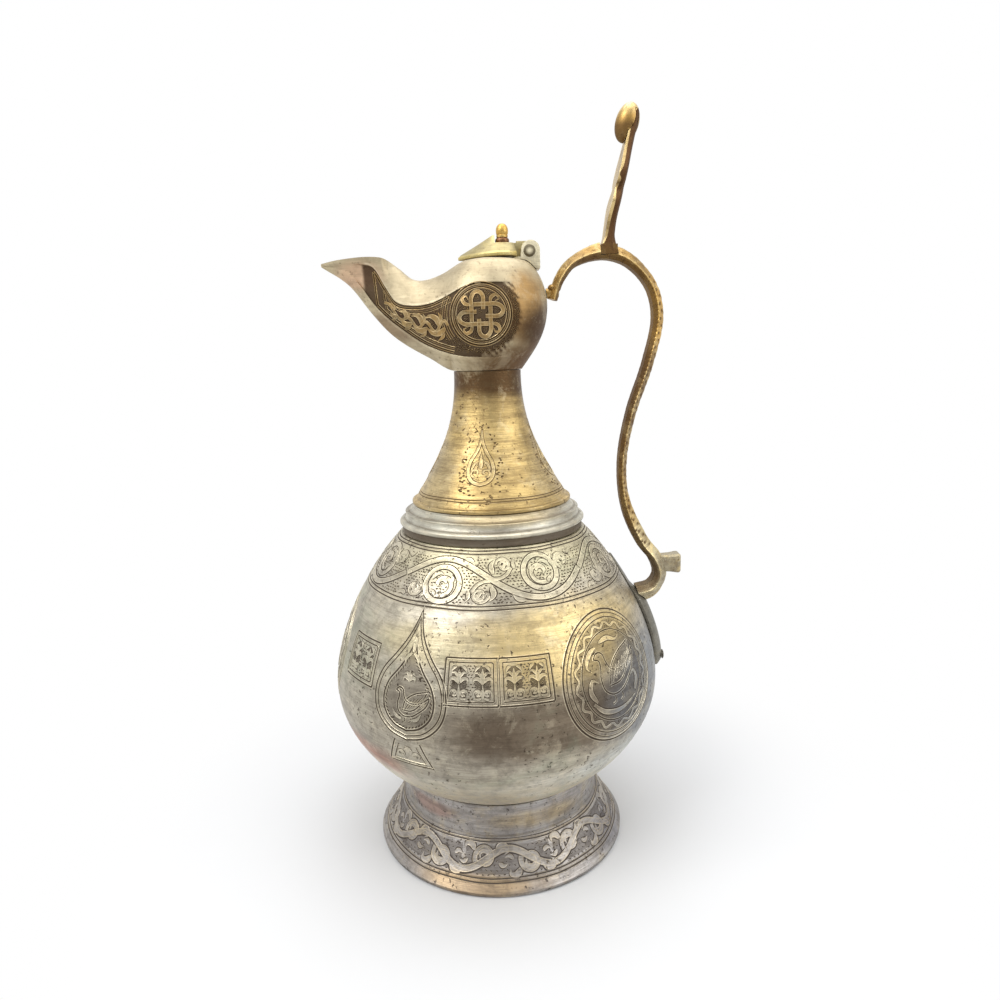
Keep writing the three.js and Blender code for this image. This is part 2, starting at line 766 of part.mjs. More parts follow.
function makeLidKnob() {
  const base = knobSeatZ + gap + washerThickness + gap;
  const tenonEnd = lidUnderside(lidKnobX) + 0.5;
  const shoulder = base + knobLength * 0.45;
  const dome = bezier([
    [knobRadius, shoulder],
    [knobRadius, base + knobLength * 0.8],
    [knobRadius * 0.6, base + knobLength],
    [0, base + knobLength],
  ], 6);
  return turned([
    [0, tenonEnd],
    [knobTenonRadius, tenonEnd],
    [knobTenonRadius, base],
    [knobRadius * 0.93, base],
    ...dome,
  ], 16).translate(lidKnobX, 0, 0);
}

// The middle line of the handle, from the hooked pad over the arch and down to the root
const bodyFace = (height) => radiusAt(bowlSide, height);
const handleLine = new THREE.CatmullRomCurve3(
  [
    [bulbRadius + padStandOff - 0.5, padHeight],
    [bulbRadius + padStandOff + 0.4, padHeight + 3.4],
    [bulbRadius + padStandOff + 2.8, padHeight + 9.2],
    [mix(bulbRadius, archTopX, 0.46), archTopHeight - 3.4],
    [archTopX, archTopHeight],
    [archTopX + 11.5, archTopHeight - 3.2],
    [handleReach - 3.4, archTopHeight - 13.6],
    [handleReach, archTopHeight - 27.5],
    [mix(gripX, handleReach, 0.73), gripHeight + 48],
    [mix(gripX, handleReach, 0.24), gripHeight + 25],
    [gripX, gripHeight],
    [gripX + 2.6, gripHeight - 20.5],
    [gripX + 9.6, gripHeight - 36],
    [heelX - 1.9, heelHeight + 5.6],
    [heelX + 0.4, heelHeight - 2.6],
    [heelX - 3.2, heelHeight - 8.3],
    [bodyFace(rootHeight) + 2.4, rootHeight],
  ].map(([x, z]) => new THREE.Vector3(x, 0, z)),
  false,
  'centripetal'
);

// Where the top rivet's head sits, sunk into the pad
const padFace = bulbRadius + padStandOff + padThickness / 2 + 0.5 - rivetHeadHeight;

// Bevelled section of the strap: flat outside and inside, with a ridge along each flank
function strapSection(width, outside, inside) {
  const ridge = mix(-inside, outside, 0.38);
  return [
    [outside, width * 0.2],
    [ridge, width * 0.5],
    [-inside, width * 0.28],
    [-inside, -width * 0.28],
    [ridge, -width * 0.5],
    [outside, -width * 0.2],
  ];
}

function makeHandle() {
  const steps = 52;
  const rings = [];
  for (let i = 0; i <= steps; i += 1) {
    const t = i / steps;
    const point = handleLine.getPointAt(t);
    const along = handleLine.getTangentAt(t);
    const out = new THREE.Vector3(-along.z, 0, along.x);
    const towardsGrip = Math.exp(-(((point.z - gripHeight) / 34) ** 2));
    const atPad = ease((0.07 - t) / 0.06);
    const atHeel = ease((t - 0.89) / 0.04);
    const atRoot = ease((t - 0.94) / 0.06);
    const beforeThumb = ease((point.x - thumbBaseX + archSwell) / archSwell) * ease((thumbBaseX - point.x) / 2);
    const afterThumb = ease((thumbBaseX + archSwell - point.x) / archSwell) * ease((point.x - thumbBaseX) / 2);
    const swollen = beforeThumb + archBackShare * afterThumb;
    const belowGrip = ease((t - 0.7) / 0.12);
    const strapThickness = mix(handleThickness, gripThickness, towardsGrip);
    const half = mix(strapThickness, padThickness, atPad) / 2;
    const archExtra = t < 0.4 ? (archThickness - handleThickness) * swollen : 0;
    const lowerExtra = mix(lowerGripSwell * belowGrip, heelSwell, atHeel) + rootSwell * atRoot;
    const outside = half + archExtra + lowerExtra;
    const width = handleWidth * (1 - 0.3 * atPad - 0.08 * towardsGrip - 0.12 * atRoot);
    rings.push(strapSection(width, outside, half).map(([n, y]) =>
      new THREE.Vector3(point.x + out.x * n, y, point.z + out.z * n)));
  }
  const strap = skin(rings, { caps: true });
  const stubStart = heelX - 1;
  const stub = skin([
    [stubStart, stubRootHeight, stubWidth * 0.8],
    [mix(stubStart, stubReach, 0.45), stubRootHeight, stubWidth * 0.86],
    [stubReach - 1, stubEndHeight, stubWidth],
    [stubReach, stubEndHeight - 1.4, stubWidth - 1.4],
  ].map(([x, height, width]) => [[-1, -1], [1, -1], [1, 1], [-1, 1]].map(([sideY, sideZ]) =>
    new THREE.Vector3(x, (sideY * width) / 2, stubMiddleHeight + (sideZ * height) / 2))),
  { caps: true });
  const boss = rodAlongX(rivetHeadRadius, 5, bulbRadius + 2, topRivetHeight);
  const rivetHole = rodAlongX(rivetRadius + gap, 30, bulbRadius, topRivetHeight);
  const spotFace = rodAlongX(rivetHeadRadius + gap, 8, padFace - gap + 4, topRivetHeight);
  return cut(join(strap, stub, boss), headSkin(-gap), leafPlate(gap), rivetHole, spotFace,
    thumbSlot(gap));
}

// A rivet with a domed head outside and a flat clenched head inside the head's wall
function makeTopRivet() {
  const inside = bulbFace(topRivetHeight + rivetHeadRadius, headWall) - clenchHeight - 2 * gap;
  const shank = rodAlongX(rivetRadius, padFace - inside, (padFace + inside) / 2, topRivetHeight);
  const dome = turned([
    [0, 0],
    [rivetHeadRadius, 0],
    [rivetHeadRadius * 0.8, rivetHeadHeight * 0.65],
    [0, rivetHeadHeight],
  ], 16).rotateY(Math.PI / 2).translate(padFace - 0.1, 0, topRivetHeight);
  const clench = rodAlongX(rivetHeadRadius, clenchHeight, inside + clenchHeight / 2, topRivetHeight);
  return join(shank, dome, clench);
}

// The leaf plate follows the body's side; grown by a clearance it also trims what meets it
const leafOutline = smoothLine([
  [0, 0.16],
  [0.12, 0.62],
  [0.3, 1],
  [0.5, 0.8],
  [0.66, 0.66],
  [0.78, 0.8],
  [0.92, 0.4],
  [1, 0.06],
]);

function leafPlate(grow) {
  const steps = 18;
  const across = 6;
  const rings = [];
  for (let i = 0; i <= steps; i += 1) {
    const t = i / steps;
    const height = mix(leafBottom - grow, leafTop + grow, t);
    const inner = bodyFace(height) + gap - grow * 2;
    const halfAngle = Math.asin((leafHalfWidth * leafOutline(t) + grow) / inner);
    const fullness = ease((leafThinStart + 0.17 - t) / 0.17) * ease((t + 0.08) / 0.16);
    const thick = mix(leafTopThickness, leafThickness, fullness);
    const ring = [];
    for (let j = 0; j <= across; j += 1) {
      const turn = mix(-halfAngle, halfAngle, j / across);
      ring.push([inner, turn]);
    }
    for (let j = across; j >= 0; j -= 1) {
      const share = (2 * j) / across - 1;
      const crowned = thick * (1 - 0.72 * share ** 2) + grow * 3;
      ring.push([inner + crowned, mix(-halfAngle, halfAngle, j / across)]);
    }
    rings.push(ring.map(([r, turn]) =>
      new THREE.Vector3(r * Math.cos(turn), r * Math.sin(turn), height)));
  }
  return skin(rings, { caps: true });
}

const leafRivetHeight = leafBottom + leafRivetRise;

function makeEscutcheon() {
  const hole = rodAlongX(rivetRadius + gap, 30, bodyFace(leafRivetHeight), leafRivetHeight);
  return cut(leafPlate(0), hole);
}

function makeLeafRivet() {
  const face = bodyFace(leafRivetHeight) + gap + leafThickness + gap;
  const inside = radiusAt(bowlInside, leafRivetHeight + rivetHeadRadius) - clenchHeight - 2 * gap;
  const shank = rodAlongX(rivetRadius, face - inside, (face + inside) / 2, leafRivetHeight);
  const dome = turned([
    [0, 0],
    [rivetHeadRadius, 0],
    [rivetHeadRadius * 0.8, rivetHeadHeight * 0.65],
    [0, rivetHeadHeight],
  ], 16).rotateY(Math.PI / 2).translate(face - 0.1, 0, leafRivetHeight);
  const clench = rodAlongX(rivetHeadRadius, clenchHeight, inside + clenchHeight / 2, leafRivetHeight);
  return join(shank, dome, clench);
}

// Thumb piece: its foot is let into the arch, and its lobed blade leans back to the top
const archFace = archTopHeight + handleThickness / 2;

function thumbSlot(grow) {
  const half = thumbBaseThickness / 2 + grow;
  return box(thumbBaseX - half, thumbBaseX + half, -handleWidth, handleWidth,
    archTopHeight - 0.6 - grow, archTopHeight + 20);
}

const bladeWidth = smoothLine([
  [0, thumbHalfWidth + 0.9],
  [0.12, thumbHalfWidth],
  [0.22, thumbHalfWidth + 0.3],
  [0.34, thumbLobeHalfWidth],
  [0.41, thumbLobeHalfWidth - 1.2],
  [0.455, thumbHalfWidth],
  [0.5, thumbLobeHalfWidth - 1],
  [0.58, thumbLobeHalfWidth],
  [0.74, thumbHalfWidth + 0.6],
  [1, thumbHalfWidth - 1.4],
]);

const bladeMiddle = (t) =>
  thumbBaseX + thumbLean * t ** thumbCurve - thumbHollow * Math.sin(Math.PI * Math.min(t * 2.2, 1));

function thumbBlade(grow) {
  const steps = 26;
  const rings = [];
  for (let i = 0; i <= steps; i += 1) {
    const t = i / steps;
    const middle = bladeMiddle(t);
    const flareOut = ease((0.12 - t) / 0.12);
    const half = mix(thumbThickness, thumbBaseThickness, flareOut) / 2 * (1 - 0.25 * t) + grow;
    const width = mix(bladeWidth(t), Math.min(bladeWidth(t), handleWidth * 0.42), ease(1 - t * 12)) + grow;
    const height = mix(archTopHeight + 1 - grow, archFace + thumbHeight + grow, t);
    const edge = 0.35;
    rings.push([
      [-half, -width * (1 - edge * 0.3)], [-half, width * (1 - edge * 0.3)],
      [half * edge, width], [half, width * (1 - edge)],
      [half, -width * (1 - edge)], [half * edge, -width],
    ].map(([x, y]) => new THREE.Vector3(middle + x, y, height)));
  }
  return skin(rings, { caps: true });
}

function makeThumbPiece() {
  const half = thumbBaseThickness / 2;
  const foot = box(thumbBaseX - half, thumbBaseX + half, -handleWidth * 0.42, handleWidth * 0.42,
    archTopHeight - 0.6, archTopHeight + 3.6);
  return join(foot, thumbBlade(0));
}

function makeThumbKnob() {
  const bladeTop = archFace + thumbHeight;
  const eggHeight = bladeTop - eggDrop;
  const share = (eggHeight - archTopHeight - 1) / (bladeTop - archTopHeight - 1);
  const egg = new THREE.SphereGeometry(1, 18, 12)
    .rotateX(Math.PI / 2)
    .scale(eggRadius, eggRadius, eggLength / 2)
    .rotateY(degrees(16))
    .translate(bladeMiddle(share) - eggStandOff, 0, eggHeight);
  return cut(egg, thumbBlade(gap));
}

const pieces = [
  ['foot', makeFoot(), oliveBronze()],
  ['body', makeBody(), oliveBronze()],
  ['shoulder_collar', makeShoulderCollar(), oliveBronze()],
  ['neck', makeNeck(), goldenBrass()],
  ['head', makeHead(), paleBronze()],
  ['hinge_bracket', makeHingeBracket(), paleBronze()],
  ['hinge_pin', makeHingePin(), darkBronze()],
  ['lid', makeLid(), yellowBrass()],
  ['knob_washer', makeKnobWasher(), copperBronze()],
  ['lid_knob', makeLidKnob(), yellowBrass()],
  ['handle', makeHandle(), yellowBrass()],
  ['handle_top_rivet', makeTopRivet(), paleBronze()],
  ['escutcheon', makeEscutcheon(), darkBronze()],
  ['escutcheon_rivet', makeLeafRivet(), darkBronze()],
  ['thumb_piece', makeThumbPiece(), goldenBrass()],
  ['thumb_knob', makeThumbKnob(), yellowBrass()],
];

// The handle reaches farther out than the belly, so the ewer is moved along X until the
// origin lies under the middle of the whole object, on the table
const axisShift = -(stubReach - bellyRadius) / 2;

const ewer = new THREE.Group();
ewer.position.x = axisShift;
for (const [name, geometry, material] of pieces) {
  const mesh = new THREE.Mesh(geometry, material);
  mesh.name = name;
  ewer.add(mesh);
}

export default ewer;
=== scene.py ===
import math

import bpy
import numpy as np
from mathutils import Euler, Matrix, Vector


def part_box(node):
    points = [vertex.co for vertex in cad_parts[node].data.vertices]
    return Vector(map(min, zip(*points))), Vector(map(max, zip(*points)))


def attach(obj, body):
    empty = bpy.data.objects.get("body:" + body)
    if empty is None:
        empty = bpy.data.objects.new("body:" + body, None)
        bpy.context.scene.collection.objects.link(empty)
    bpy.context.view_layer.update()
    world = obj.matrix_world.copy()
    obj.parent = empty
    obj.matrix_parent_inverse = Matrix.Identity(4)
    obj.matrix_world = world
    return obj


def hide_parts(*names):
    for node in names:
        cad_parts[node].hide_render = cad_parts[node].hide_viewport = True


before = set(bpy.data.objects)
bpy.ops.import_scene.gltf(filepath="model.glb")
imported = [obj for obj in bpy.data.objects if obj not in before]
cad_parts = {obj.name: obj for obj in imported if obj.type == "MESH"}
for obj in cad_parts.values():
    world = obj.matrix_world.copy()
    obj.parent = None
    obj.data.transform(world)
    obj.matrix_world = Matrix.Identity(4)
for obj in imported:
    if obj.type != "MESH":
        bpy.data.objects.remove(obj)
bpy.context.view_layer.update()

# Pieces are modelled in millimetres about the vessel's own axis, with the spout towards -X
# and the camera's side towards -Y, and are brought to metres and to their place at the end.
mm = 0.001


def box_of(node):
    """The low and the high corner of a node of the frame, in millimetres."""
    return [np.array(corner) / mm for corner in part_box(node)]


body_low, body_high = box_of("body")
foot_low, foot_high = box_of("foot")
collar_low, collar_high = box_of("shoulder_collar")
neck_low, neck_high = box_of("neck")
head_low, head_high = box_of("head")
pin_low, pin_high = box_of("hinge_pin")
handle_low, handle_high = box_of("handle")
axis_x = (body_low[0] + body_high[0]) / 2

gap = 0.3  # left between pieces that touch
round_steps = 256

# Sizes that the frame's boxes give
belly_radius = (body_high[0] - body_low[0]) / 2
bowl_floor = body_low[2]
spigot_top = body_high[2]
rim_radius = (foot_high[0] - foot_low[0]) / 2
neck_lip_radius = (neck_high[0] - neck_low[0]) / 2
collar_base = collar_low[2]
collar_top = collar_high[2]
collar_flange_radius = (collar_high[0] - collar_low[0]) / 2
spout_reach = axis_x - head_low[0]
hinge_z = (pin_low[2] + pin_high[2]) / 2
hinge_x = (pin_low[0] + pin_high[0]) / 2 - axis_x
shoulder_height = collar_base - gap
head_base = neck_high[2] - 5 + gap
neck_shoulder = head_base - gap

# Sizes of the turned pieces that only show inside their boxes
belly_height = 81.4
seat_radius = 47.3
seat_height = 36.3
shoulder_radius = 43
shoulder_rounding = 12.5
wall = 1.9
spigot_radius = 39.6
neck_spigot_radius = 13
neck_wall = 1.7
foot_wall = 2.4
waist_radius = 48.5
flare_height = 20.5
flare_sag = 1.4
collar_bore = 33.6

# Sizes of the head
bulb_radius = head_high[0] - axis_x
bulb_widest = 27.5
crown_height = 46.9
crown_flat = 17
head_foot = 15.8
saddle_height = 39.6
lip_height = 49
lip_half_width = 12
lip_edge = 1.3
keel_half_width = 4.2
panel_depth = 0.8
head_wall = 2
lip_wall = 1.2
fill_mouth_radius = 8.2
fill_mouth_x = 2.5


# Shaping tools

def mix(a, b, t):
    return a + (b - a) * t


def ease(t):
    t = min(1, max(0, t))
    return t * t * (3 - 2 * t)


def bezier(corners, steps):
    """Points along a cubic Bezier curve, both ends included."""
    t = np.linspace(0, 1, steps + 1)[:, None]
    a, b, c, d = [np.array(corner, float) for corner in corners]
    points = (1 - t) ** 3 * a + 3 * (1 - t) ** 2 * t * b + 3 * (1 - t) * t ** 2 * c + t ** 3 * d
    return [tuple(point) for point in points]


def smooth_line(pairs):
    """A smooth line through (position, value) pairs, read at any position between them."""
    places = [p for p, v in pairs]
    values = [v for p, v in pairs]
    last = len(pairs) - 1

    def slope(i):
        before, after = max(0, i - 1), min(last, i + 1)
        return (values[after] - values[before]) / (places[after] - places[before])

    def read(position):
        i = 0
        while i < last - 1 and position > places[i + 1]:
            i += 1
        span = places[i + 1] - places[i]
        t = min(1, max(0, (position - places[i]) / span))
        return ((2 * t ** 3 - 3 * t ** 2 + 1) * values[i]
                + (t ** 3 - 2 * t ** 2 + t) * span * slope(i)
                + (3 * t ** 2 - 2 * t ** 3) * values[i + 1]
                + (t ** 3 - t ** 2) * span * slope(i + 1))
    return read


def radius_at(outline, height):
    """The radius of a rising outline at a height."""
    rising = [outline[0]]
    for point in outline[1:]:
        if point[1] > rising[-1][1]:
            rising.append(point)
    return float(np.interp(height, [z for r, z in rising], [r for r, z in rising]))


def offset(outline, distance):
    """The outline moved square to itself, outwards for a positive distance."""
    moved = []
    for i, (radius, height) in enumerate(outline):
        before = outline[max(0, i - 1)]
        after = outline[min(len(outline) - 1, i + 1)]
        along = Vector((after[0] - before[0], after[1] - before[1])).normalized()
        new_radius = 0 if i == 0 and radius == 0 else radius + along.y * distance
        moved.append((new_radius, height - along.x * distance))
    return moved


def deselect():
    if bpy.context.mode != "OBJECT":
        bpy.ops.object.mode_set(mode="OBJECT")
    bpy.ops.object.select_all(action="DESELECT")


def take(piece):
    """Select a piece alone and make it active."""
    deselect()
    piece.select_set(True)
    bpy.context.view_layer.objects.active = piece


def edit(piece, select="SELECT"):
    take(piece)
    bpy.ops.object.mode_set(mode="EDIT")
    bpy.ops.mesh.select_all(action=select)


def turn_outwards():
    """Turn the faces of the piece in edit mode outwards, and leave edit mode."""
    bpy.ops.mesh.select_all(action="SELECT")
    bpy.ops.mesh.normals_make_consistent(inside=False)
    bpy.ops.object.mode_set(mode="OBJECT")


def tidy_mesh(piece, nearest=0.004):
    """Merge doubles, drop loose edges and turn the faces outwards."""
    edit(piece)
    bpy.ops.mesh.remove_doubles(threshold=nearest)
    bpy.ops.mesh.delete_loose()
    turn_outwards()


def smooth(piece, angle=35):
    take(piece)
    bpy.ops.object.shade_smooth_by_angle(angle=math.radians(angle))


def place_points(piece, points):
    piece.data.vertices.foreach_set("co", np.asarray(points, np.float32).ravel())
    piece.data.update()


def turned(name, outline, steps=round_steps):
    """Spin a closed outline of (radius, height) pairs round the vessel's axis."""
    deselect()
    bpy.ops.mesh.primitive_circle_add(vertices=len(outline), radius=1)
    piece = bpy.context.object
    piece.name = name
    place_points(piece, [(radius, 0, height) for radius, height in outline])
    edit(piece)
    bpy.ops.mesh.spin(steps=steps, angle=2 * math.pi, center=(0, 0, 0), axis=(0, 0, 1))
    tidy_mesh(piece)
    return piece


def sheet_of(name, rows):
    """A grid primitive whose rows of points are given; all rows have as many points."""
    count = len(rows[0])
    deselect()
    bpy.ops.mesh.primitive_grid_add(x_subdivisions=count - 1, y_subdivisions=len(rows) - 1, size=1)
    piece = bpy.context.object
    piece.name = name
    place_points(piece, [point for row in rows for point in row])
    return piece


def closed_skin(name, rings, tones=None):
    """A closed skin with flat ends over rings of points, which can each carry a tone."""
    piece = sheet_of(name, [list(ring) + [ring[0]] for ring in rings])
    if tones:
        tone_attribute(piece, [tone for ring in tones for tone in list(ring) + [ring[0]]])
    edit(piece)
    bpy.ops.mesh.remove_doubles(threshold=0.0005)
    bpy.ops.mesh.select_all(action="DESELECT")
    bpy.ops.mesh.select_mode(type="EDGE")
    bpy.ops.mesh.select_non_manifold(extend=False)
    bpy.ops.mesh.edge_face_add()
    bpy.ops.mesh.select_mode(type="VERT")
    turn_outwards()
    return piece


def cut(piece, *tools, operation="DIFFERENCE"):
    """Cut or join pieces by boolean modifiers that are applied at once."""
    for tool in tools:
        take(piece)
        cutter = piece.modifiers.new("cut", "BOOLEAN")
        cutter.operation = operation
        cutter.solver = "MANIFOLD"
        cutter.object = tool
        bpy.ops.object.modifier_apply(modifier=cutter.name)
        bpy.data.objects.remove(tool)
    return piece


def rod(radius, length, place, axis, steps=48):
    """A plain rod with its middle at a place; a cutter or the start of a rivet."""
    turn = {"x": (0, math.pi / 2, 0), "y": (math.pi / 2, 0, 0), "z": (0, 0, 0)}[axis]
    deselect()
    bpy.ops.mesh.primitive_cylinder_add(
        vertices=steps, radius=radius, depth=length, location=place, rotation=turn)
    bpy.ops.object.transform_apply(location=True, rotation=True, scale=True)
    return bpy.context.object


def bevelled(piece, width, segments=2, angle=30):
    take(piece)
    edge = piece.modifiers.new("edge", "BEVEL")
    edge.width = width
    edge.segments = segments
    edge.limit_method = "ANGLE"
    edge.angle_limit = math.radians(angle)
    bpy.ops.object.modifier_apply(modifier=edge.name)
    return piece


def hand_made(piece):
    """Draw the vessel's round parts in a little, unevenly, as hand work leaves them."""
    x, y, z = flat_points(piece).T
    turn, radius = np.arctan2(y, x), np.hypot(x, y)
    depth = (0.36 + 0.06 * np.sin(3 * turn + z / 17) + 0.04 * np.sin(5 * turn - z / 11 + 1)
             + 0.03 * np.sin(9 * turn + z / 5))
    depth *= np.clip((205 - z) / 20, 0, 1) * np.clip(radius / 8, 0, 1)
    share = 1 - depth / np.maximum(radius, 0.001)
    place_points(piece, np.stack([x * share, y * share, z], axis=1))


def settle(piece, node, material, body="root"):
    """Bring a finished piece to metres and to its place, give it its metal and body, and hide the node it
    stands for.
    """
    hand_made(piece)
    take(piece)
    piece.location = (axis_x * mm, 0, 0)
    piece.scale = (mm, mm, mm)
    bpy.ops.object.transform_apply(location=True, rotation=True, scale=True)
    piece.data.materials.clear()
    piece.data.materials.append(material)
    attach(piece, body)
    if node:
        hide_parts(node)
    return piece


# The body's outline, from its lowest point to the shoulder
bowl_bottom = bezier([(0, bowl_floor), (20, bowl_floor), (34, bowl_floor + 1),
                      (seat_radius, seat_height)], 14)
bowl_lower = bezier([(seat_radius, seat_height), (seat_radius + 13.6, seat_height + 8.5),
                     (belly_radius, belly_height - 20), (belly_radius, belly_height)], 20)
bowl_upper = bezier([(belly_radius, belly_height), (belly_radius, belly_height + 27),
                     (shoulder_radius + shoulder_rounding, shoulder_height - shoulder_rounding),
                     (shoulder_radius, shoulder_height)], 32)
bowl_side = bowl_bottom + bowl_lower[1:] + bowl_upper[1:]


def make_body():
    inside = offset(bowl_side, -wall)[:-1:2]
    inner_spigot = spigot_radius - wall
    body = turned("ewer_body", bowl_side + [
        (spigot_radius, shoulder_height),
        (spigot_radius, spigot_top),
        (inner_spigot, spigot_top),
        (inner_spigot, shoulder_height - wall),
    ] + inside[::-1])
    # Painted light: the tone brightens the body towards its bottom, below about 66 mm, where it faces the
    # shaded floor.
    tone_attribute(body, [1.1 * ease((66 - z) / 20) for z in flat_points(body)[:, 2]])
    return body


flare_middle = (rim_radius + waist_radius) / 2 - flare_sag
foot_flare = bezier([(rim_radius, 1.8), (mix(rim_radius, flare_middle, 0.67), 8),
                     (mix(waist_radius, flare_middle, 0.67), 14.3), (waist_radius, flare_height)], 24)


def make_foot():
    seat = radius_height(seat_radius)
    inner = seat_radius - foot_wall
    return turned("ewer_foot", [
        (rim_radius - 0.5, 0),
        (rim_radius - 0.1, 0.5),
    ] + foot_flare + [
        (waist_radius - 0.2, flare_height + 0.5),
        (waist_radius - 0.8, flare_height + 0.8),
        (waist_radius - 0.75, flare_height + 1.3),
        (seat_radius + 0.25, seat - 0.9),
        (seat_radius, seat - 0.3),
        (seat_radius - 0.35, seat - 0.2),
        (inner, radius_height(inner)),
        (waist_radius - 3.2, flare_height),
    ] + [(radius - foot_wall, height - 0.6) for radius, height in foot_flare[-3:1:-3]] + [
        (rim_radius - 3, 1),
        (rim_radius - foot_wall, 0),
    ])


def radius_height(radius):
    """How high the foot's seat reaches at a radius, just clear of the bowl."""
    seat = offset(bowl_side, gap)
    return float(np.interp(radius, [r for r, z in seat[:20]], [z for r, z in seat[:20]]))


def make_collar():
    """The stepped ring: a band darkened by painted shade under the flange, a rounded flange and two hollow
    steps.
    """
    low, top = collar_base, collar_top
    flange = collar_flange_radius
    band = flange - 1
    first_hollow = bezier([(flange - 2.2, low + 6.0), (flange - 2.8, low + 6.9),
                           (flange - 3.2, low + 8.2), (flange - 2.9, low + 9.0)], 8)
    second_hollow = bezier([(flange - 3.6, low + 9.5), (flange - 4.6, low + 9.9),
                            (flange - 5.9, low + 10.9), (neck_lip_radius - 0.4, low + 11.7)], 8)
    collar = turned("shoulder_ring", [
        (spigot_radius + gap, low),
        (band - 0.3, low),
        (band, low + 0.3),
        (band, low + 3.3),
        (flange - 0.35, low + 3.5),
        (flange, low + 4.1),
        (flange, low + 4.9),
        (flange - 0.5, low + 5.5),
        (flange - 1.5, low + 5.8),
    ] + first_hollow + [
        (flange - 2.6, low + 9.2),
        (flange - 2.9, low + 9.5),
    ] + second_hollow + [
        (neck_lip_radius - 0.4, top - 0.2),
        (neck_lip_radius - 0.6, top),
        (collar_bore, top),
        (collar_bore, spigot_top + gap),
        (spigot_radius + gap, spigot_top + gap),
    ])
    # Tone by height: the band under the flange is darkened as painted shade from the flange's overhang; the
    # two hollows are darkened and the flange and step edges brightened.
    heights = [z - low for z in flat_points(collar)[:, 2]]
    tone_attribute(collar, np.interp(
        heights, [0, 0.2, 3.3, 3.6, 4.2, 5.4, 6.0, 6.8, 8.8, 9.3, 9.6, 10.4],
        [0.4, -0.85, -0.9, -0.2, 0.4, 0.5, -0.5, 0.0, 0.3, 0.6, -0.6, 0.1]))
    return collar


neck_base = collar_top + gap
lip_top = neck_base + 1.9
neck_side = bezier([(35.6, lip_top), (24.1, lip_top + 19), (14.9, lip_top + 32),
                    (15.2, neck_shoulder)], 60)


def make_neck():
    bore = collar_bore - gap
    inner = offset(neck_side, -neck_wall)[1:-1:4]
    return turned("ewer_neck", [
        (bore, neck_base),
        (neck_lip_radius - 0.5, neck_base),
        (neck_lip_radius - 0.1, neck_base + 0.2),
        (neck_lip_radius, neck_base + 0.6),
        (neck_lip_radius, lip_top - 0.7),
        (neck_lip_radius - 0.25, lip_top - 0.25),
        (neck_lip_radius - 0.8, lip_top),
    ] + neck_side + [
        (neck_spigot_radius, neck_shoulder),
        (neck_spigot_radius, neck_shoulder + 5),
        (neck_spigot_radius - neck_wall, neck_shoulder + 5),
        (neck_spigot_radius - neck_wall, neck_shoulder),
    ] + inner[::-1] + [
        (bore - neck_wall, neck_base),
        (bore - neck_wall, neck_base - 5),
        (bore, neck_base - 5),
    ])


# The head's lines, read at a share of the spout's reach: 0 is the axis and 1 the tip.
# Heights are above the neck's shoulder.
crown_line = smooth_line([
    (0, crown_height), (0.13, crown_height - 0.9), (0.25, saddle_height + 2.6),
    (0.36, saddle_height + 0.1), (0.44, saddle_height + 0.6), (0.52, saddle_height + 5.2),
    (0.59, lip_height - 0.8), (0.66, lip_height), (0.84, lip_height - 0.3), (1, lip_height - 1)])
keel_start = head_foot / spout_reach
keel_line = smooth_line([
    (0, 0), (keel_start, 0.2), (0.35, 5.6), (0.5, 12), (0.6, 17.7), (0.7, 26), (0.83, 38.2),
    (1, lip_height - 1 - lip_edge)])
plan_line = smooth_line([
    (0, bulb_radius), (0.14, bulb_radius - 1.6), (0.28, bulb_radius - 7), (0.42, 14.6),
    (0.56, 10.2), (0.7, 8.2), (0.86, 4.4), (1, 0)])
rim_line = smooth_line([
    (0.55, lip_half_width - 3.6), (0.62, lip_half_width - 1), (0.72, lip_half_width),
    (0.84, lip_half_width - 2.8), (0.93, lip_half_width - 7), (1, 0)])
panel_top_line = smooth_line([
    (0, 36.2), (0.1, 35.4), (0.24, 31), (0.33, 28.8), (0.44, 28.4), (0.54, 30.6), (0.6, 37),
    (0.66, 44.6), (0.74, 46.6)])
panel_bottom_line = smooth_line([
    (0, 5.5), (0.17, 6.4), (0.36, 11.2), (0.52, 19), (0.61, 24.4), (0.68, 30), (0.74, 36.4),
    (0.8, 42.4)])


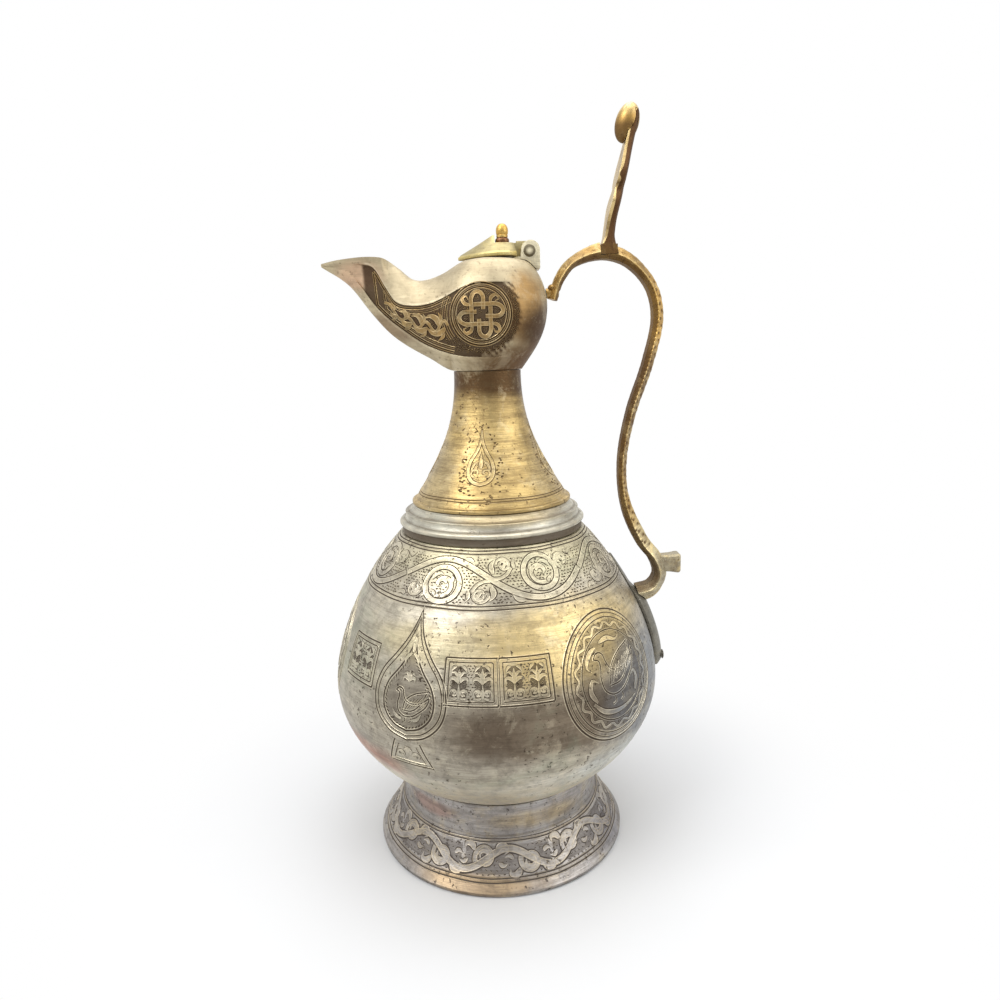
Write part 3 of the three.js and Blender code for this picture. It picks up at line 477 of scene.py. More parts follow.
def head_side(share, thick):
    """The head's flank at a share: its points, its keel's and its top's half widths,
    its low and high edges and the panel's two edges. A thickness above 0 draws it in
    by a wall, and one below 0 grows it by a clearance."""
    inset = mix(thick, lip_wall, ease((share - 0.6) / 0.2)) if thick > 0 else thick
    low = max(keel_line(share), 0) + inset
    crown = crown_line(share)
    mouth = ease((share - 0.54) / 0.07)
    high = mix(crown - inset, crown + inset, ease((share - 0.622) / 0.016) if thick > 0 else mouth)
    keel_wanted = max(keel_half_width * (1 - share ** 3), 0)
    disc = head_foot * math.sqrt(max(0, 1 - (share / keel_start) ** 2))
    tip_fade = min(1, max(0, (1 - share) / 0.06))
    wide = max(plan_line(share) - inset, 0)
    keel = max(min(max(keel_wanted, disc) - inset * 0.4, wide * 0.8), 0) * tip_fade
    drawn_in = 1.5 * ease((0.68 - share) / 0.06) if thick > 0 else 0
    rim = max(rim_line(max(share, 0.55)) - inset - drawn_in, 0)
    flat = mix(mix(crown_flat, 3, ease(share / 0.3)), rim, mouth)
    top = max(flat - inset * 0.5 * (1 - mouth), 0)
    middle = low + (high - low) * mix(bulb_widest / crown_height, 0.5, ease(share / 0.35))
    lower = bezier([
        (keel, low), (mix(keel, wide, 0.5), low + (middle - low) * mix(0.3, 0.2, share)),
        (wide, middle - (middle - low) * 0.45), (wide, middle)], 24)
    pull = mix(mix(top, wide, 0.5), mix(top, wide, 0.3), mouth)
    upper = bezier([
        (wide, middle), (wide, middle + (high - middle) * 0.46),
        (pull, mix(high, high - 2.2, mouth)), (top, high)], 24)
    rise = high - low
    panel_low = min(max(panel_bottom_line(share), low + rise * 0.08), high - rise * 0.35)
    panel_high = min(max(panel_top_line(share), panel_low + rise * 0.1), high - rise * 0.06)
    return lower + upper[1:], keel, top, low, high, panel_low, panel_high


def panel_sunk(height, panel_low, panel_high, depth):
    """How deep the side panel lies at a height, with a short slope at its edges."""
    slope = 0.45
    return depth * min(ease((height - panel_low) / slope), ease((panel_high - height) / slope))


def head_rib(share, depth, thick):
    """One rib of the head as (half width, height) pairs, from the keel to the crown."""
    side, keel, top, low, high, panel_low, panel_high = head_side(share, thick)
    edge = 0.45
    if thick > 0:
        heights = np.linspace(low, high, 34)[1:-1]
    else:
        heights = np.concatenate([
            np.linspace(low, panel_low, 10)[1:],
            np.linspace(panel_low, panel_low + edge, 4)[1:],
            np.linspace(panel_low + edge, max(panel_high - edge, panel_low + edge), 26)[1:],
            np.linspace(max(panel_high - edge, panel_low + edge), panel_high, 4)[1:],
            np.linspace(panel_high, high, 22)[1:-1]])
    rib = [(0, low), (keel * 0.5, low), (keel, low)]
    for height in heights:
        sunk = panel_sunk(height, panel_low, panel_high, depth) if depth else 0
        rib.append((max(radius_at(side, height) - sunk, 0), height))
    return rib + [(top, high), (top * 0.66, high), (top * 0.33, high), (0, high)]


def head_skin(thick, depth=0):
    """The head's skin; drawn inwards by a wall it is the hollow inside."""
    count = 150 if thick > 0 else 130
    turns = 60 if thick > 0 else 112
    reach = spout_reach - lip_wall * 2 if thick > 0 else spout_reach - thick
    shares = 1 - np.linspace(0, 1, count + 1)[:-1] ** 1.1
    front = []
    for share in shares:
        faded = depth * ease((0.8 - share) / 0.05)
        rib = head_rib(share, faded, thick)
        least = 0.06 if thick > 0 else 0
        widths = [0] + [max(y, least) * (share < 1) for y, z in rib[1:-1]] + [0]
        front.append([(-share * reach, y, z + head_base) for y, (_, z) in zip(widths, rib)])
    rows = list(front)
    for i in range(turns + 1):
        turn = i / turns * math.pi
        fade = ease((math.radians(30) - min(turn, math.pi - turn)) / math.radians(22))
        rib = head_rib(0, depth * fade, thick)
        rows.append([(r * math.sin(turn), r * math.cos(turn), z + head_base) for r, z in rib])
    rows += [[(x, -y, z) for x, y, z in rib] for rib in front[::-1]]
    piece = sheet_of("head_skin", rows)
    tidy_mesh(piece, 0.0008)
    return piece


def make_head():
    """The lamp-shaped head: its hollow, the neck's bore, the fill mouth and a rivet hole."""
    shell = head_skin(0, panel_depth)
    shell.name = "lamp_head"
    cut(shell,
        head_skin(head_wall),
        rod(neck_spigot_radius + gap, 12, (0, 0, head_base + 2), "z", 64),
        rod(fill_mouth_radius, 12, (fill_mouth_x, 0, crown_z), "z", 64),
        rod(rivet_radius + gap, 12, (bulb_radius, 0, top_rivet_z), "x", 24))
    outer = [point.co.x > 0 or point.co.y * point.normal.y > 0 for point in shell.data.vertices]
    tone_attribute(shell, [head_tone(*place) * out for place, out in zip(flat_points(shell), outer)])
    return shell


def head_tone(x, y, z):
    """Dark in the sunk side panels and bright along their edges."""
    share = max(-x / spout_reach, 0)
    low = head_base + panel_bottom_line(share)
    high = head_base + panel_top_line(share)
    inside = ease((z - low) / 0.4) * ease((high - z) / 0.4) * ease((0.74 - share) / 0.02)
    edge = max(0, 1 - abs(z - low + 0.3) / 0.7) + max(0, 1 - abs(z - high - 0.3) / 0.7)
    edge = min(edge, 1) * (1 - inside) * ease((0.72 - share) / 0.02)
    if x > roundel_x:
        away = math.hypot(x - roundel_x, z - roundel_z)
        ragged = 0.9 * math.sin(x * 1.7 + z * 2.3) + 0.7 * math.sin(z * 3.1 - x * 2.2)
        inside *= ease((17.2 + ragged - away) / 1.4)
    edge *= ease((-x - 7) / 6)
    if abs(y) < 8 and z > 240 and x > 0:
        return 0
    return edge * 0.8 - 0.92 * inside


# Lines, drawn as evenly spaced points

def evenly(line, step, closed=False):
    """The same line with its points a step apart."""
    line = np.asarray(line, float)
    if closed:
        line = np.vstack([line, line[:1]])
    lengths = np.concatenate([[0], np.cumsum(np.linalg.norm(np.diff(line, axis=0), axis=1))])
    count = max(int(round(lengths[-1] / step)), 2)
    at = np.linspace(0, lengths[-1], count + 1)
    if closed:
        at = at[:-1]
    return np.stack([np.interp(at, lengths, line[:, k]) for k in range(line.shape[1])], axis=1)


def through(points, step=0.8, closed=False):
    """A smooth line through points."""
    points = [np.array(point, float) for point in points]
    if closed:
        points = [points[-1]] + points + points[:2]
    else:
        points = [2 * points[0] - points[1]] + points + [2 * points[-1] - points[-2]]
    line = []
    for a, b, c, d in zip(points, points[1:], points[2:], points[3:]):
        k1, k2, k3 = [max(np.linalg.norm(q - p), 1e-6) ** 0.5 for p, q in ((a, b), (b, c), (c, d))]
        leave = ((b - a) / k1 - (c - a) / (k1 + k2) + (c - b) / k2) * k2
        arrive = ((c - b) / k2 - (d - b) / (k2 + k3) + (d - c) / k3) * k2
        for t in np.linspace(0, 1, 24, endpoint=False):
            line.append((2 * t ** 3 - 3 * t ** 2 + 1) * b + (t ** 3 - 2 * t ** 2 + t) * leave
                        + (3 * t ** 2 - 2 * t ** 3) * c + (t ** 3 - t ** 2) * arrive)
    if not closed:
        line.append(points[-2])
    return evenly(line, step, closed)


def arc(x, y, radius, start, end, step=0.8):
    """Part of a circle, from one angle to another in degrees."""
    count = max(int(abs(math.radians(end - start)) * radius / step), 4)
    turns = np.radians(np.linspace(start, end, count + 1))
    return np.stack([x + radius * np.cos(turns), y + radius * np.sin(turns)], axis=1)


def circle(x, y, radius, step=0.8):
    return arc(x, y, radius, 0, 360, step)[:-1]


def spiral(x, y, outer, inner, start, turns, step=0.7):
    """A curl that winds inwards; turns below 0 wind clockwise."""
    count = max(int(abs(turns) * math.pi * (outer + inner) / step), 8)
    t = np.linspace(0, 1, count + 1)
    radius = mix(outer, inner, t)
    turn = np.radians(start) + 2 * math.pi * turns * t
    return np.stack([x + radius * np.cos(turn), y + radius * np.sin(turn)], axis=1)


# Engraving: strokes are drawn flat in millimetres and wrapped onto the metal

def mirrored(half, root):
    """A whole cross-section from its left half and its one point down in the metal."""
    return half + [(-across, height, tone) for across, height, tone in half[::-1]] + [root]


# Cross-sections as (across in half widths, height, tone). Tone is -1 in a dark cut and 1
# on a bright worn edge.
strap_profile = mirrored([
    (-1.52, -0.14, -0.5), (-1.36, 0.07, -1), (-1.04, 0.07, -1), (-0.86, 0.23, 0.9),
    (-0.6, 0.19, 0.12)], (0, -0.3, -0.5))
line_profile = mirrored([(-1.1, -0.1, 0), (-0.72, 0.16, 0.9), (-0.36, 0.07, -1)], (0, -0.3, 0))
pit_profile = mirrored([(-1.0, -0.1, 0), (-0.78, 0.1, 0.7), (-0.56, 0.07, -1)], (0, -0.3, 0))


class Drawing:
    """Strokes on a flat sheet: engraved lines, raised straps, tapered leaves and punch marks."""

    def __init__(self):
        self.strokes = []
        self.fields = []

    def field(self, outline, tone=-0.75):
        """A flat ground that fills an outline, darkened like a filled cut."""
        self.fields.append((np.asarray(outline), tone))

    def line(self, points, width=1.3, closed=False):
        self.strokes.append(("line", np.asarray(points), np.full(len(points), width / 2), closed))

    def strap(self, points, width=2.2, closed=False):
        self.strokes.append(("strap", np.asarray(points), np.full(len(points), width / 2), closed))

    def leaf(self, points, width, blunt=0.35):
        """A raised leaf, widest a third of the way along and pointed at its far end."""
        t = np.linspace(0, 1, len(points))
        swell = np.sin(math.pi * np.clip(t, 0.04, 0.985) ** 0.65) ** 0.8
        swell = np.maximum(swell, blunt * (1 - t))
        self.strokes.append(("strap", np.asarray(points), np.maximum(width / 2 * swell, 0.2), False))

    def bead(self, x, y, radius):
        points = np.array([(x - radius * 0.7, y), (x - radius * 0.4, y), (x + radius * 0.4, y),
                           (x + radius * 0.7, y)])
        self.strokes.append(("strap", points, np.array([0.6, 1, 1, 0.6]) * radius, False))

    def pit(self, x, y, length, turn=0, width=0.8):
        """A short dark punch mark."""
        along = np.array([math.cos(turn), math.sin(turn)]) * length / 2
        middle = np.array([x, y])
        points = np.array([middle - along, middle - along * 0.4, middle + along * 0.4, middle + along])
        self.strokes.append(("pit", points, np.array([0.3, 1, 1, 0.3]) * width / 2, False))

    def add(self, other, x=0, y=0, turn=0, scale=1, flip=False):
        """Repeat another drawing's strokes, moved, turned, scaled or mirrored."""
        c, s = math.cos(turn), math.sin(turn)
        for kind, points, halves, closed in other.strokes:
            points = points * scale * ((-1, 1) if flip else (1, 1))
            moved_points = np.stack([points[:, 0] * c - points[:, 1] * s + x,
                                     points[:, 0] * s + points[:, 1] * c + y], axis=1)
            self.strokes.append((kind, moved_points, halves * min(1, scale + 0.25), closed))


def engrave(name, drawing):
    """Make a flat mesh of a drawing's strokes, with their tone kept as an attribute."""
    profiles = {"line": line_profile, "strap": strap_profile, "pit": pit_profile}
    parts = []
    for kind, profile in profiles.items():
        strokes = [stroke for stroke in drawing.strokes if stroke[0] == kind]
        if not strokes:
            continue
        section = bpy.data.curves.new("section", "CURVE")
        outline = section.splines.new("POLY")
        outline.points.add(len(profile) - 1)
        for point, (across, height, tone) in zip(outline.points, profile):
            point.co = (across, height, 0, 1)
        outline.use_cyclic_u = True
        section_object = bpy.data.objects.new("section", section)
        bpy.context.scene.collection.objects.link(section_object)
        curve = bpy.data.curves.new(name, "CURVE")
        curve.dimensions = "2D"
        curve.bevel_mode = "OBJECT"
        curve.bevel_object = section_object
        for _, points, halves, closed in strokes:
            spline = curve.splines.new("POLY")
            spline.points.add(len(points) - 1)
            flat = np.concatenate([points, np.zeros((len(points), 1)), np.ones((len(points), 1))], axis=1)
            spline.points.foreach_set("co", flat.ravel())
            spline.points.foreach_set("radius", halves)
            spline.use_cyclic_u = closed
        part = bpy.data.objects.new(name, curve)
        bpy.context.scene.collection.objects.link(part)
        take(part)
        bpy.ops.object.convert(target="MESH")
        part = bpy.context.object
        bpy.data.objects.remove(section_object)
        count = len(part.data.vertices)
        place = np.empty(count * 3, np.float32)
        part.data.vertices.foreach_get("co", place)
        place = place.reshape(-1, 3)
        index = np.arange(count) % len(profile)
        place[:, 2] = np.array([height for _, height, _ in profile])[index]
        place_points(part, place)
        tone_attribute(part, np.array([tone for _, _, tone in profile])[index])
        parts.append(part)
    parts += [field_sheet(outline, tone) for outline, tone in drawing.fields]
    return joined(name, parts)


def field_sheet(outline, tone, step=1.2):
    """A sheet that fills an outline row by row; its edges turn down into the metal."""
    outline = np.vstack([outline, outline[:1]])
    low, high = outline[:, 1].min(), outline[:, 1].max()
    columns = int(np.ptp(outline[:, 0]) / step) + 2
    rows, tones = [], []
    heights = np.linspace(low + 0.05, high - 0.05, int((high - low) / step) + 2)
    for i, y in enumerate(heights):
        crossings = [x0 + (x1 - x0) * (y - y0) / (y1 - y0)
                     for (x0, y0), (x1, y1) in zip(outline, outline[1:]) if (y0 - y) * (y1 - y) < 0]
        across = np.linspace(min(crossings), max(crossings), columns)
        edge_row = i in (0, len(heights) - 1)
        rows.append([(x, y, -0.15 if edge_row or k in (0, columns - 1) else 0.05)
                     for k, x in enumerate(across)])
        tones += [tone] * columns
    sheet = sheet_of("field", rows)
    tone_attribute(sheet, tones)
    return sheet


def tone_attribute(piece, values):
    layer = piece.data.attributes.new("tone", "FLOAT", "POINT")
    layer.data.foreach_set("value", np.asarray(values, np.float32))


def flat_points(piece):
    place = np.empty(len(piece.data.vertices) * 3, np.float32)
    piece.data.vertices.foreach_get("co", place)
    return place.reshape(-1, 3).astype(float)


def turned_face(outline, base_height):
    """How a rising outline runs: arc length from a base height against radius and height."""
    rising = [outline[0]]
    for point in outline[1:]:
        if point[1] > rising[-1][1]:
            rising.append(point)
    rising = np.array(rising)
    lengths = np.concatenate([[0], np.cumsum(np.linalg.norm(np.diff(rising, axis=0), axis=1))])
    return rising, lengths - np.interp(base_height, rising[:, 1], lengths)


def wrap_round(piece, outline, base_height, base_radius, turn):
    """Wrap a flat piece onto a turned surface. Its X runs round the vessel, its Y up the
    surface from a base height, and turn is its middle's angle from the camera's side."""
    rising, lengths = turned_face(outline, base_height)
    x, y, lift = flat_points(piece).T
    radius = np.interp(y, lengths, rising[:, 0])
    height = np.interp(y, lengths, rising[:, 1])
    ahead = np.stack([np.interp(y + 0.6, lengths, rising[:, k]) for k in (0, 1)])
    behind = np.stack([np.interp(y - 0.6, lengths, rising[:, k]) for k in (0, 1)])
    slope = (ahead - behind) / np.maximum(np.linalg.norm(ahead - behind, axis=0), 1e-6)
    radius = radius + lift * slope[1]
    height = height - lift * slope[0]
    angle = math.radians(turn) + x / base_radius
    place_points(piece, np.stack([radius * np.sin(angle), -radius * np.cos(angle), height], axis=1))
    return piece


def rows_of_pits(drawing, x0, x1, y0, y1, step, keep, slant=0.5):
    """Staggered rows of short punch marks where keep(x, y) is true."""
    rng = np.random.default_rng(7)
    row = 0
    y = y0
    while y < y1:
        x = x0 + (step / 2 if row % 2 else 0)
        while x < x1:
            px, py = x + rng.uniform(-0.25, 0.25), y + rng.uniform(-0.2, 0.2)
            if keep(px, py):
                drawing.pit(px, py, rng.uniform(0.8, 1.15), rng.uniform(-slant, slant))
            x += step
        y += step * 0.8
        row += 1


def clear_of(drawing, margin=0.35):
    """A test of whether a place is free of a drawing's strokes."""
    places = np.concatenate([points for _, points, _, _ in drawing.strokes])
    halves = np.concatenate([halves for _, _, halves, _ in drawing.strokes])

    def free(x, y):
        return bool(np.all(np.hypot(places[:, 0] - x, places[:, 1] - y) > halves * 1.5 + margin))
    return free


def palmette():
    """A small three-leaved flower on a stem."""
    flower = Drawing()
    flower.leaf(through([(0, 0), (0, 2), (0, 5.0)], 0.5), 2.0)
    for side in (-1, 1):
        flower.leaf(through([(0, 0.4), (side * 1.6, 1.8), (side * 2.9, 1.6), (side * 3.2, 0.2)], 0.5), 1.5)
        flower.leaf(through([(side * 0.4, 2.4), (side * 1.6, 3.8), (side * 2.7, 3.5)], 0.5), 1.2)
    return flower


def scroll_curl(radius, leaf=1.0):
    """A vine's curl that winds into a lobed leaf."""
    curl = Drawing()
    curl.strap(spiral(0, 0, radius, radius * 0.42, 200, -0.95, 0.6), radius * 0.36)
    r = radius * 0.55
    lobe = [(r * 0.8, r * 0.2), (r * 0.2, r * 0.9), (-r * 0.7, r * 0.7), (-r * 0.8, -r * 0.2)]
    tip = [(r * 0.1, r * 0.4), (r * 0.1, -r * 0.5), (-r * 0.5, -r * 0.9)]
    curl.leaf(through(lobe, 0.5), radius * 0.5 * leaf)
    curl.leaf(through(tip, 0.5), radius * 0.36 * leaf)
    return curl


def bird():
    """A stylised bird with a raised, feathered wing, as such vessels often carry."""
    art = Drawing()
    body = [(-7.8, 8.0), (-5.9, 9.7), (-3.7, 8.9), (-3.0, 6.4), (-1.4, 3.6), (3.0, 2.4), (8.0, 3.6),
            (12.2, 6.4), (10.6, 2.0), (6.6, -1.6), (2.4, -4.2), (-2.0, -4.6), (-5.4, -2.4),
            (-6.4, 1.6), (-5.6, 5.2), (-5.9, 7.2)]
    art.line(through(body, 0.8, closed=True), 1.25, closed=True)
    art.line(through([(-3.0, -1.6), (-1.6, 3.4), (3.4, 7.4), (11.0, 9.6)], 0.8), 1.2)
    art.line(through([(-3.0, -1.6), (2.6, -1.2), (7.6, 3.0), (11.0, 9.6)], 0.8), 1.2)
    for k in range(5):
        start = np.array((mix(-1.6, 5.6, k / 4), mix(-1.2, 2.0, k / 4)))
        feather = np.array((mix(3.4, 4.4, k / 4), mix(5.4, 5.0, k / 4)))
        art.line(evenly([start, start + feather], 0.8), 0.85)
    art.pit(-5.4, 8.3, 0.9)
    for k in range(3):
        art.line(evenly([(6.8 + k, 1.0 + k * 0.5), (9.6 + k * 0.6, 3.4 + k * 0.4)], 0.8), 0.8)
    art.line(through([(-1.6, -4.8), (-1.2, -7.0), (-2.8, -7.6)], 0.7), 1.0)
    art.line(through([(1.6, -4.4), (2.4, -6.6), (1.0, -7.4)], 0.7), 1.0)
    return art


# The shoulder band: one quarter of its run round the vessel

def medallion():
    """A scroll that closes on itself round split leaves."""
    art = Drawing()
    art.strap(circle(0, 0, 9.1), 2.1, closed=True)
    art.strap(spiral(0.4, -0.4, 5.9, 2.6, -110, 0.8), 1.7)
    art.leaf(through([(2.4, 0.4), (0.8, 2.6), (-1.6, 1.8), (-1.8, -0.8), (0.2, -1.6)], 0.5), 2.1)
    art.leaf(through([(-5.9, 2.0), (-4.4, 4.6), (-1.6, 5.4), (0.6, 4.4)], 0.5), 1.9)
    art.leaf(through([(-2.4, -6.2), (-3.8, -4.2), (-5.4, -3.4)], 0.5), 1.5)
    art.leaf(through([(4.4, 4.6), (5.6, 2.2), (4.8, 0.4)], 0.5), 1.4)
    return art


def shoulder_quarter():
    """A vine that runs above one medallion and below the next, with curls and leaves between."""
    half, top = 40.4, 22.4
    middle = top / 2
    art = Drawing()
    art.strap([(x, middle - 8.9 * math.sin(math.pi * x / half))
               for x in np.arange(-half, half + 0.1, 0.8)], 2.4)
    art.add(medallion(), x=-21.0, y=8.9, scale=0.83)
    art.add(medallion(), x=21.0, y=13.5, scale=0.83, flip=True)
    for side in (-1, 1):
        sprig = Drawing()
        sprig.strap(through([(0.8, 0.4), (3.2, 0.6), (6.2, 2.2), (8.2, 5.0)], 0.7), 1.5)
        sprig.add(scroll_curl(3.5, 1.3), x=5.0, y=6.4, turn=-0.4)
        sprig.leaf(through([(0.4, 2.6), (-0.4, 6.2), (1.6, 9.4)], 0.6), 2.3)
        sprig.leaf(through([(9.6, 4.4), (9.4, 7.4), (10.4, 9.6)], 0.6), 1.7)
        art.add(sprig, x=0, y=middle, turn=0 if side > 0 else math.pi)
        curl = Drawing()
        curl.add(scroll_curl(3.9, 1.4), turn=0.8)
        curl.leaf(through([(-5.4, -2.2), (-5.8, 1.0), (-4.2, 3.6)], 0.6), 2.0)
        curl.leaf(through([(3.8, 3.6), (5.6, 2.6), (7.6, 4.0)], 0.6), 1.8)
        art.add(curl, x=side * 33.2, y=middle + side * 5.6, turn=0 if side > 0 else math.pi)
        art.leaf(through([(side * 12.4, middle - side * 9.4), (side * 9.4, middle - side * 8.6),
                          (side * 7.6, middle - side * 6.4)], 0.6), 1.9)
    ground = Drawing()
    rows_of_pits(ground, -half + 0.6, half - 0.6, 1.6, top - 1.0, 1.55, clear_of(art))
    art.strokes += ground.strokes
    return art


def rules(circumference, heights, width=1.25):
    """Double lines all the way round a turned surface."""
    art = Drawing()
    across = np.linspace(-circumference / 2, circumference / 2, 361)[:-1]
    for y in heights:
        art.line([(x, y + 0.12 * math.sin(x * 0.21)) for x in across], width)
    return art


def belly_roundel():
    """A double ring, a border of running scroll and a bird among leaves inside."""
    art = Drawing()
    art.field(circle(0, 0, 23.4), -0.5)
    art.line(circle(0, 0, 27.6), 1.5, closed=True)
    art.line(circle(0, 0, 25.9), 0.9, closed=True)
    art.line(circle(0, 0, 24.0), 1.0, closed=True)
    art.line(circle(0, 0, 18.7), 1.1, closed=True)
    turns = np.linspace(0, 2 * math.pi, 190, endpoint=False)
    radius = 21.1 + 0.95 * np.sin(turns * 18)
    art.strap(np.stack([radius * np.cos(turns), radius * np.sin(turns)], axis=1), 1.1, closed=True)
    for k in range(36):
        turn = 2 * math.pi * (k + 0.5) / 36
        at = 21.1 - 1.1 * math.sin(turn * 18)
        art.pit(at * math.cos(turn), at * math.sin(turn), 1.2, turn, 1.0)
    art.add(bird(), x=-0.6, y=-1.6, scale=1.3)
    branch = [(-14.6, -8.6), (-9.4, -13.0), (-2.4, -14.8), (4.6, -14.2), (10.6, -12.0)]
    art.leaf(through(branch, 0.8), 2.2, 0.6)
    art.leaf(through([(10.8, -10.2), (13.2, -6.4), (12.4, -2.4), (9.6, -3.2)], 0.7), 2.2)
    art.leaf(through([(-12.6, -8.4), (-15.2, -3.6), (-13.6, 0.8), (-10.8, -0.8)], 0.7), 2.2)
    art.leaf(through([(-8.6, 13.4), (-12.6, 11.2), (-15.2, 6.2), (-13.2, 4.2)], 0.7), 2.0)
    art.leaf(through([(-5.6, 14.6), (0.2, 15.4), (5.8, 13.6), (8.4, 14.8)], 0.7), 2.0)
    return art


def teardrop_line(scale, middle=17.6):
    """A pointed drop: a round lower part drawn up to an ogee tip."""
    right = [(0, 0), (8.6, 2.6), (15.2, 9.0), (17.2, 17.6), (15.0, 26.2), (8.8, 34.6), (4.2, 41.6),
             (1.5, 48.0), (0, 53.0)]
    half = through([(x * scale, middle + (y - 17.6) * scale) for x, y in right])
    left = half[::-1][1:-1] * (-1, 1)
    return np.vstack([half, left])


def belly_drop():
    """A pointed medallion round a smaller one with a bird, and a small stand below."""
    art = Drawing()
    art.line(teardrop_line(1.0), 1.4, closed=True)
    art.line(teardrop_line(0.9), 1.1, closed=True)
    inner = teardrop_line(0.7, 16.4)
    art.field(inner, -0.5)
    art.line(inner, 1.6, closed=True)
    border = teardrop_line(0.63, 16.2)
    for i in range(0, len(border), 2):
        step = border[(i + 1) % len(border)] - border[i]
        art.pit(*border[i], 1.5, math.atan2(step[1], step[0]) + 0.7, 1.1)
    art.add(bird(), x=0.4, y=13.6, scale=0.78)
    art.add(palmette(), y=24.0, scale=0.9)
    for side in (-1, 1):
        art.leaf(through([(side * 2.2, 8.6), (side * 4.8, 9.4), (side * 6.8, 12.0)], 0.6), 1.4)
        art.leaf(through([(side * 0.6, 35.4), (side * 3.0, 33.2), (side * 3.4, 30.2)], 0.6), 1.5)
        for x, y in ((12.4, 19.2), (12.0, 12.4), (10.6, 25.4), (6.4, 31.6)):
            art.pit(side * x, y, 1.2, 1.2 * side, 0.9)
        art.line(evenly([(side * 6.0, -1.0), (side * 10.6, -12.2)], 0.8), 1.3)
        art.line(evenly([(side * 4.2, -2.6), (side * 7.8, -10.6)], 0.8), 0.9)
        art.add(scroll_curl(1.9, 1.1), x=side * 3.3, y=-7.0, flip=side > 0)
    art.leaf(through([(0, 35.8), (0, 39.4), (0, 43.6)], 0.6), 1.9)
    art.line(evenly([(-10.6, -12.2), (10.6, -12.2)], 0.8), 1.3)
    art.line(evenly([(-7.8, -10.6), (7.8, -10.6)], 0.8), 0.9)
    art.add(palmette(), y=-5.6, scale=0.55)
    return art


def belly_panel(width=22.0, height=18.6):
    """A framed panel of two upright palmettes on dark, punched ground."""
    art = Drawing()
    for inset, line_width in ((0, 1.3), (1.7, 1.0)):
        corners = [(-width / 2 + inset, inset), (width / 2 - inset, inset),
                   (width / 2 - inset, height - inset), (-width / 2 + inset, height - inset),
                   (-width / 2 + inset, inset + 0.9)]
        art.line(evenly(corners, 0.9), line_width)
    for low_x, high_x in ((-width / 2 + 2.2, -0.9), (0.9, width / 2 - 2.2)):
        art.field([(low_x, 2.3), (high_x, 2.3), (high_x, height - 2.3), (low_x, height - 2.3)], -0.8)
    field = Drawing()
    field.add(palmette(), y=height * 0.46, scale=1.2)
    field.leaf(through([(0, 2.8), (0, 5.2), (0, 8.4)], 0.5), 1.3)
    for side in (-1, 1):
        field.add(scroll_curl(1.75, 1.2), x=side * 1.95, y=5.0, flip=side > 0)
        field.leaf(through([(side * 0.5, 3.3), (side * 1.9, 2.9), (side * 3.2, 3.3)], 0.5), 1.0)
        field.leaf(through([(side * 1.2, height - 3.2), (side * 2.4, height - 3.8),
                            (side * 3.2, height - 5.4)], 0.5), 1.2)
    for side in (-1, 1):
        art.add(field, x=side * (width / 4 - 0.65))
    ground = Drawing()
    rows_of_pits(ground, -width / 2 + 3, width / 2 - 2.8, 3, height - 2.8, 1.45, clear_of(art, 0.15), 1.2)
    art.strokes += ground.strokes
    return art


foot_wave = 42.0  # the length of one wave of the foot's vine


def foot_scroll():
    """One wave of the vine on the foot's skirt, with a lobed curl in each half."""
    length, high = foot_wave, 14.4
    art = Drawing()
    middle = high / 2
    art.field([(0, 0.6), (length, 0.6), (length, high - 0.6), (0, high - 0.6)], -0.5)
    art.strap([(x, middle - 4.6 * math.cos(2 * math.pi * x / length))
               for x in np.arange(0, length - 0.4, 0.8)], 3.0)
    half = Drawing()
    half.strap(spiral(0, -0.4, 4.7, 2.4, 205, -0.9), 2.3)
    half.leaf(through([(2.4, 1.0), (0.2, 2.6), (-2.2, 1.6), (-2.0, -1.0)], 0.55), 3.0)
    half.leaf(through([(5.4, 1.2), (7.2, 4.0), (9.6, 4.2), (10.6, 2.0), (9.2, 0.8)], 0.55), 3.0)
    half.leaf(through([(-4.8, 2.2), (-6.6, 4.6), (-9.2, 4.4), (-9.4, 2.2)], 0.55), 2.8)
    half.leaf(through([(6.6, -2.6), (8.4, -3.8), (10.6, -3.0)], 0.55), 2.0)
    half.leaf(through([(-7.8, -1.6), (-9.6, -3.0), (-11.8, -2.4)], 0.55), 1.9)
    for flip, x in ((1, length / 4 - 0.4), (-1, length * 3 / 4 - 0.4)):
        for kind, points, halves, closed in half.strokes:
            art.strokes.append((kind, points * (1, flip) + (x, middle + flip * 1.4), halves, closed))
    ground = Drawing()
    rows_of_pits(ground, 0.6, length - 0.4, 1.2, high - 1.0, 2.3, clear_of(art, 0.3), 1.0)
    art.strokes += ground.strokes
    return art


def neck_drop():
    """A small drop round two facing curls and a leaf, in a cloud of punch marks."""
    art = Drawing()
    art.strap(teardrop_line(1.0) * (0.33, 0.42), 1.5, closed=True)
    for side in (-1, 1):
        curl = Drawing()
        curl.strap(spiral(0, 0, 2.1, 0.9, 268, -0.85, 0.5), 0.9)
        curl.leaf(through([(-1.9, 1.0), (-1.2, 3.4), (0.2, 5.0), (0.5, 3.2)], 0.5), 1.2)
        art.add(curl, x=side * 2.3, y=5.4, flip=side > 0)
        art.leaf(through([(side * 0.3, 15.6), (side * 1.3, 13.2), (side * 1.6, 11.2)], 0.5), 0.9)
    art.leaf(through([(0, 7.4), (0, 9.6), (0, 14.4)], 0.5), 1.9)
    rng = np.random.default_rng(3)
    for k in range(74):
        turn, away = rng.uniform(0, 2 * math.pi), rng.uniform(1.28, 1.75)
        x, y = 5.8 * away * math.cos(turn), 9.6 + 10.6 * away ** 1.1 * math.sin(turn)
        art.pit(x, y, rng.uniform(0.7, 1.7), rng.uniform(-0.5, 0.5), rng.uniform(0.8, 1.4))
    return art


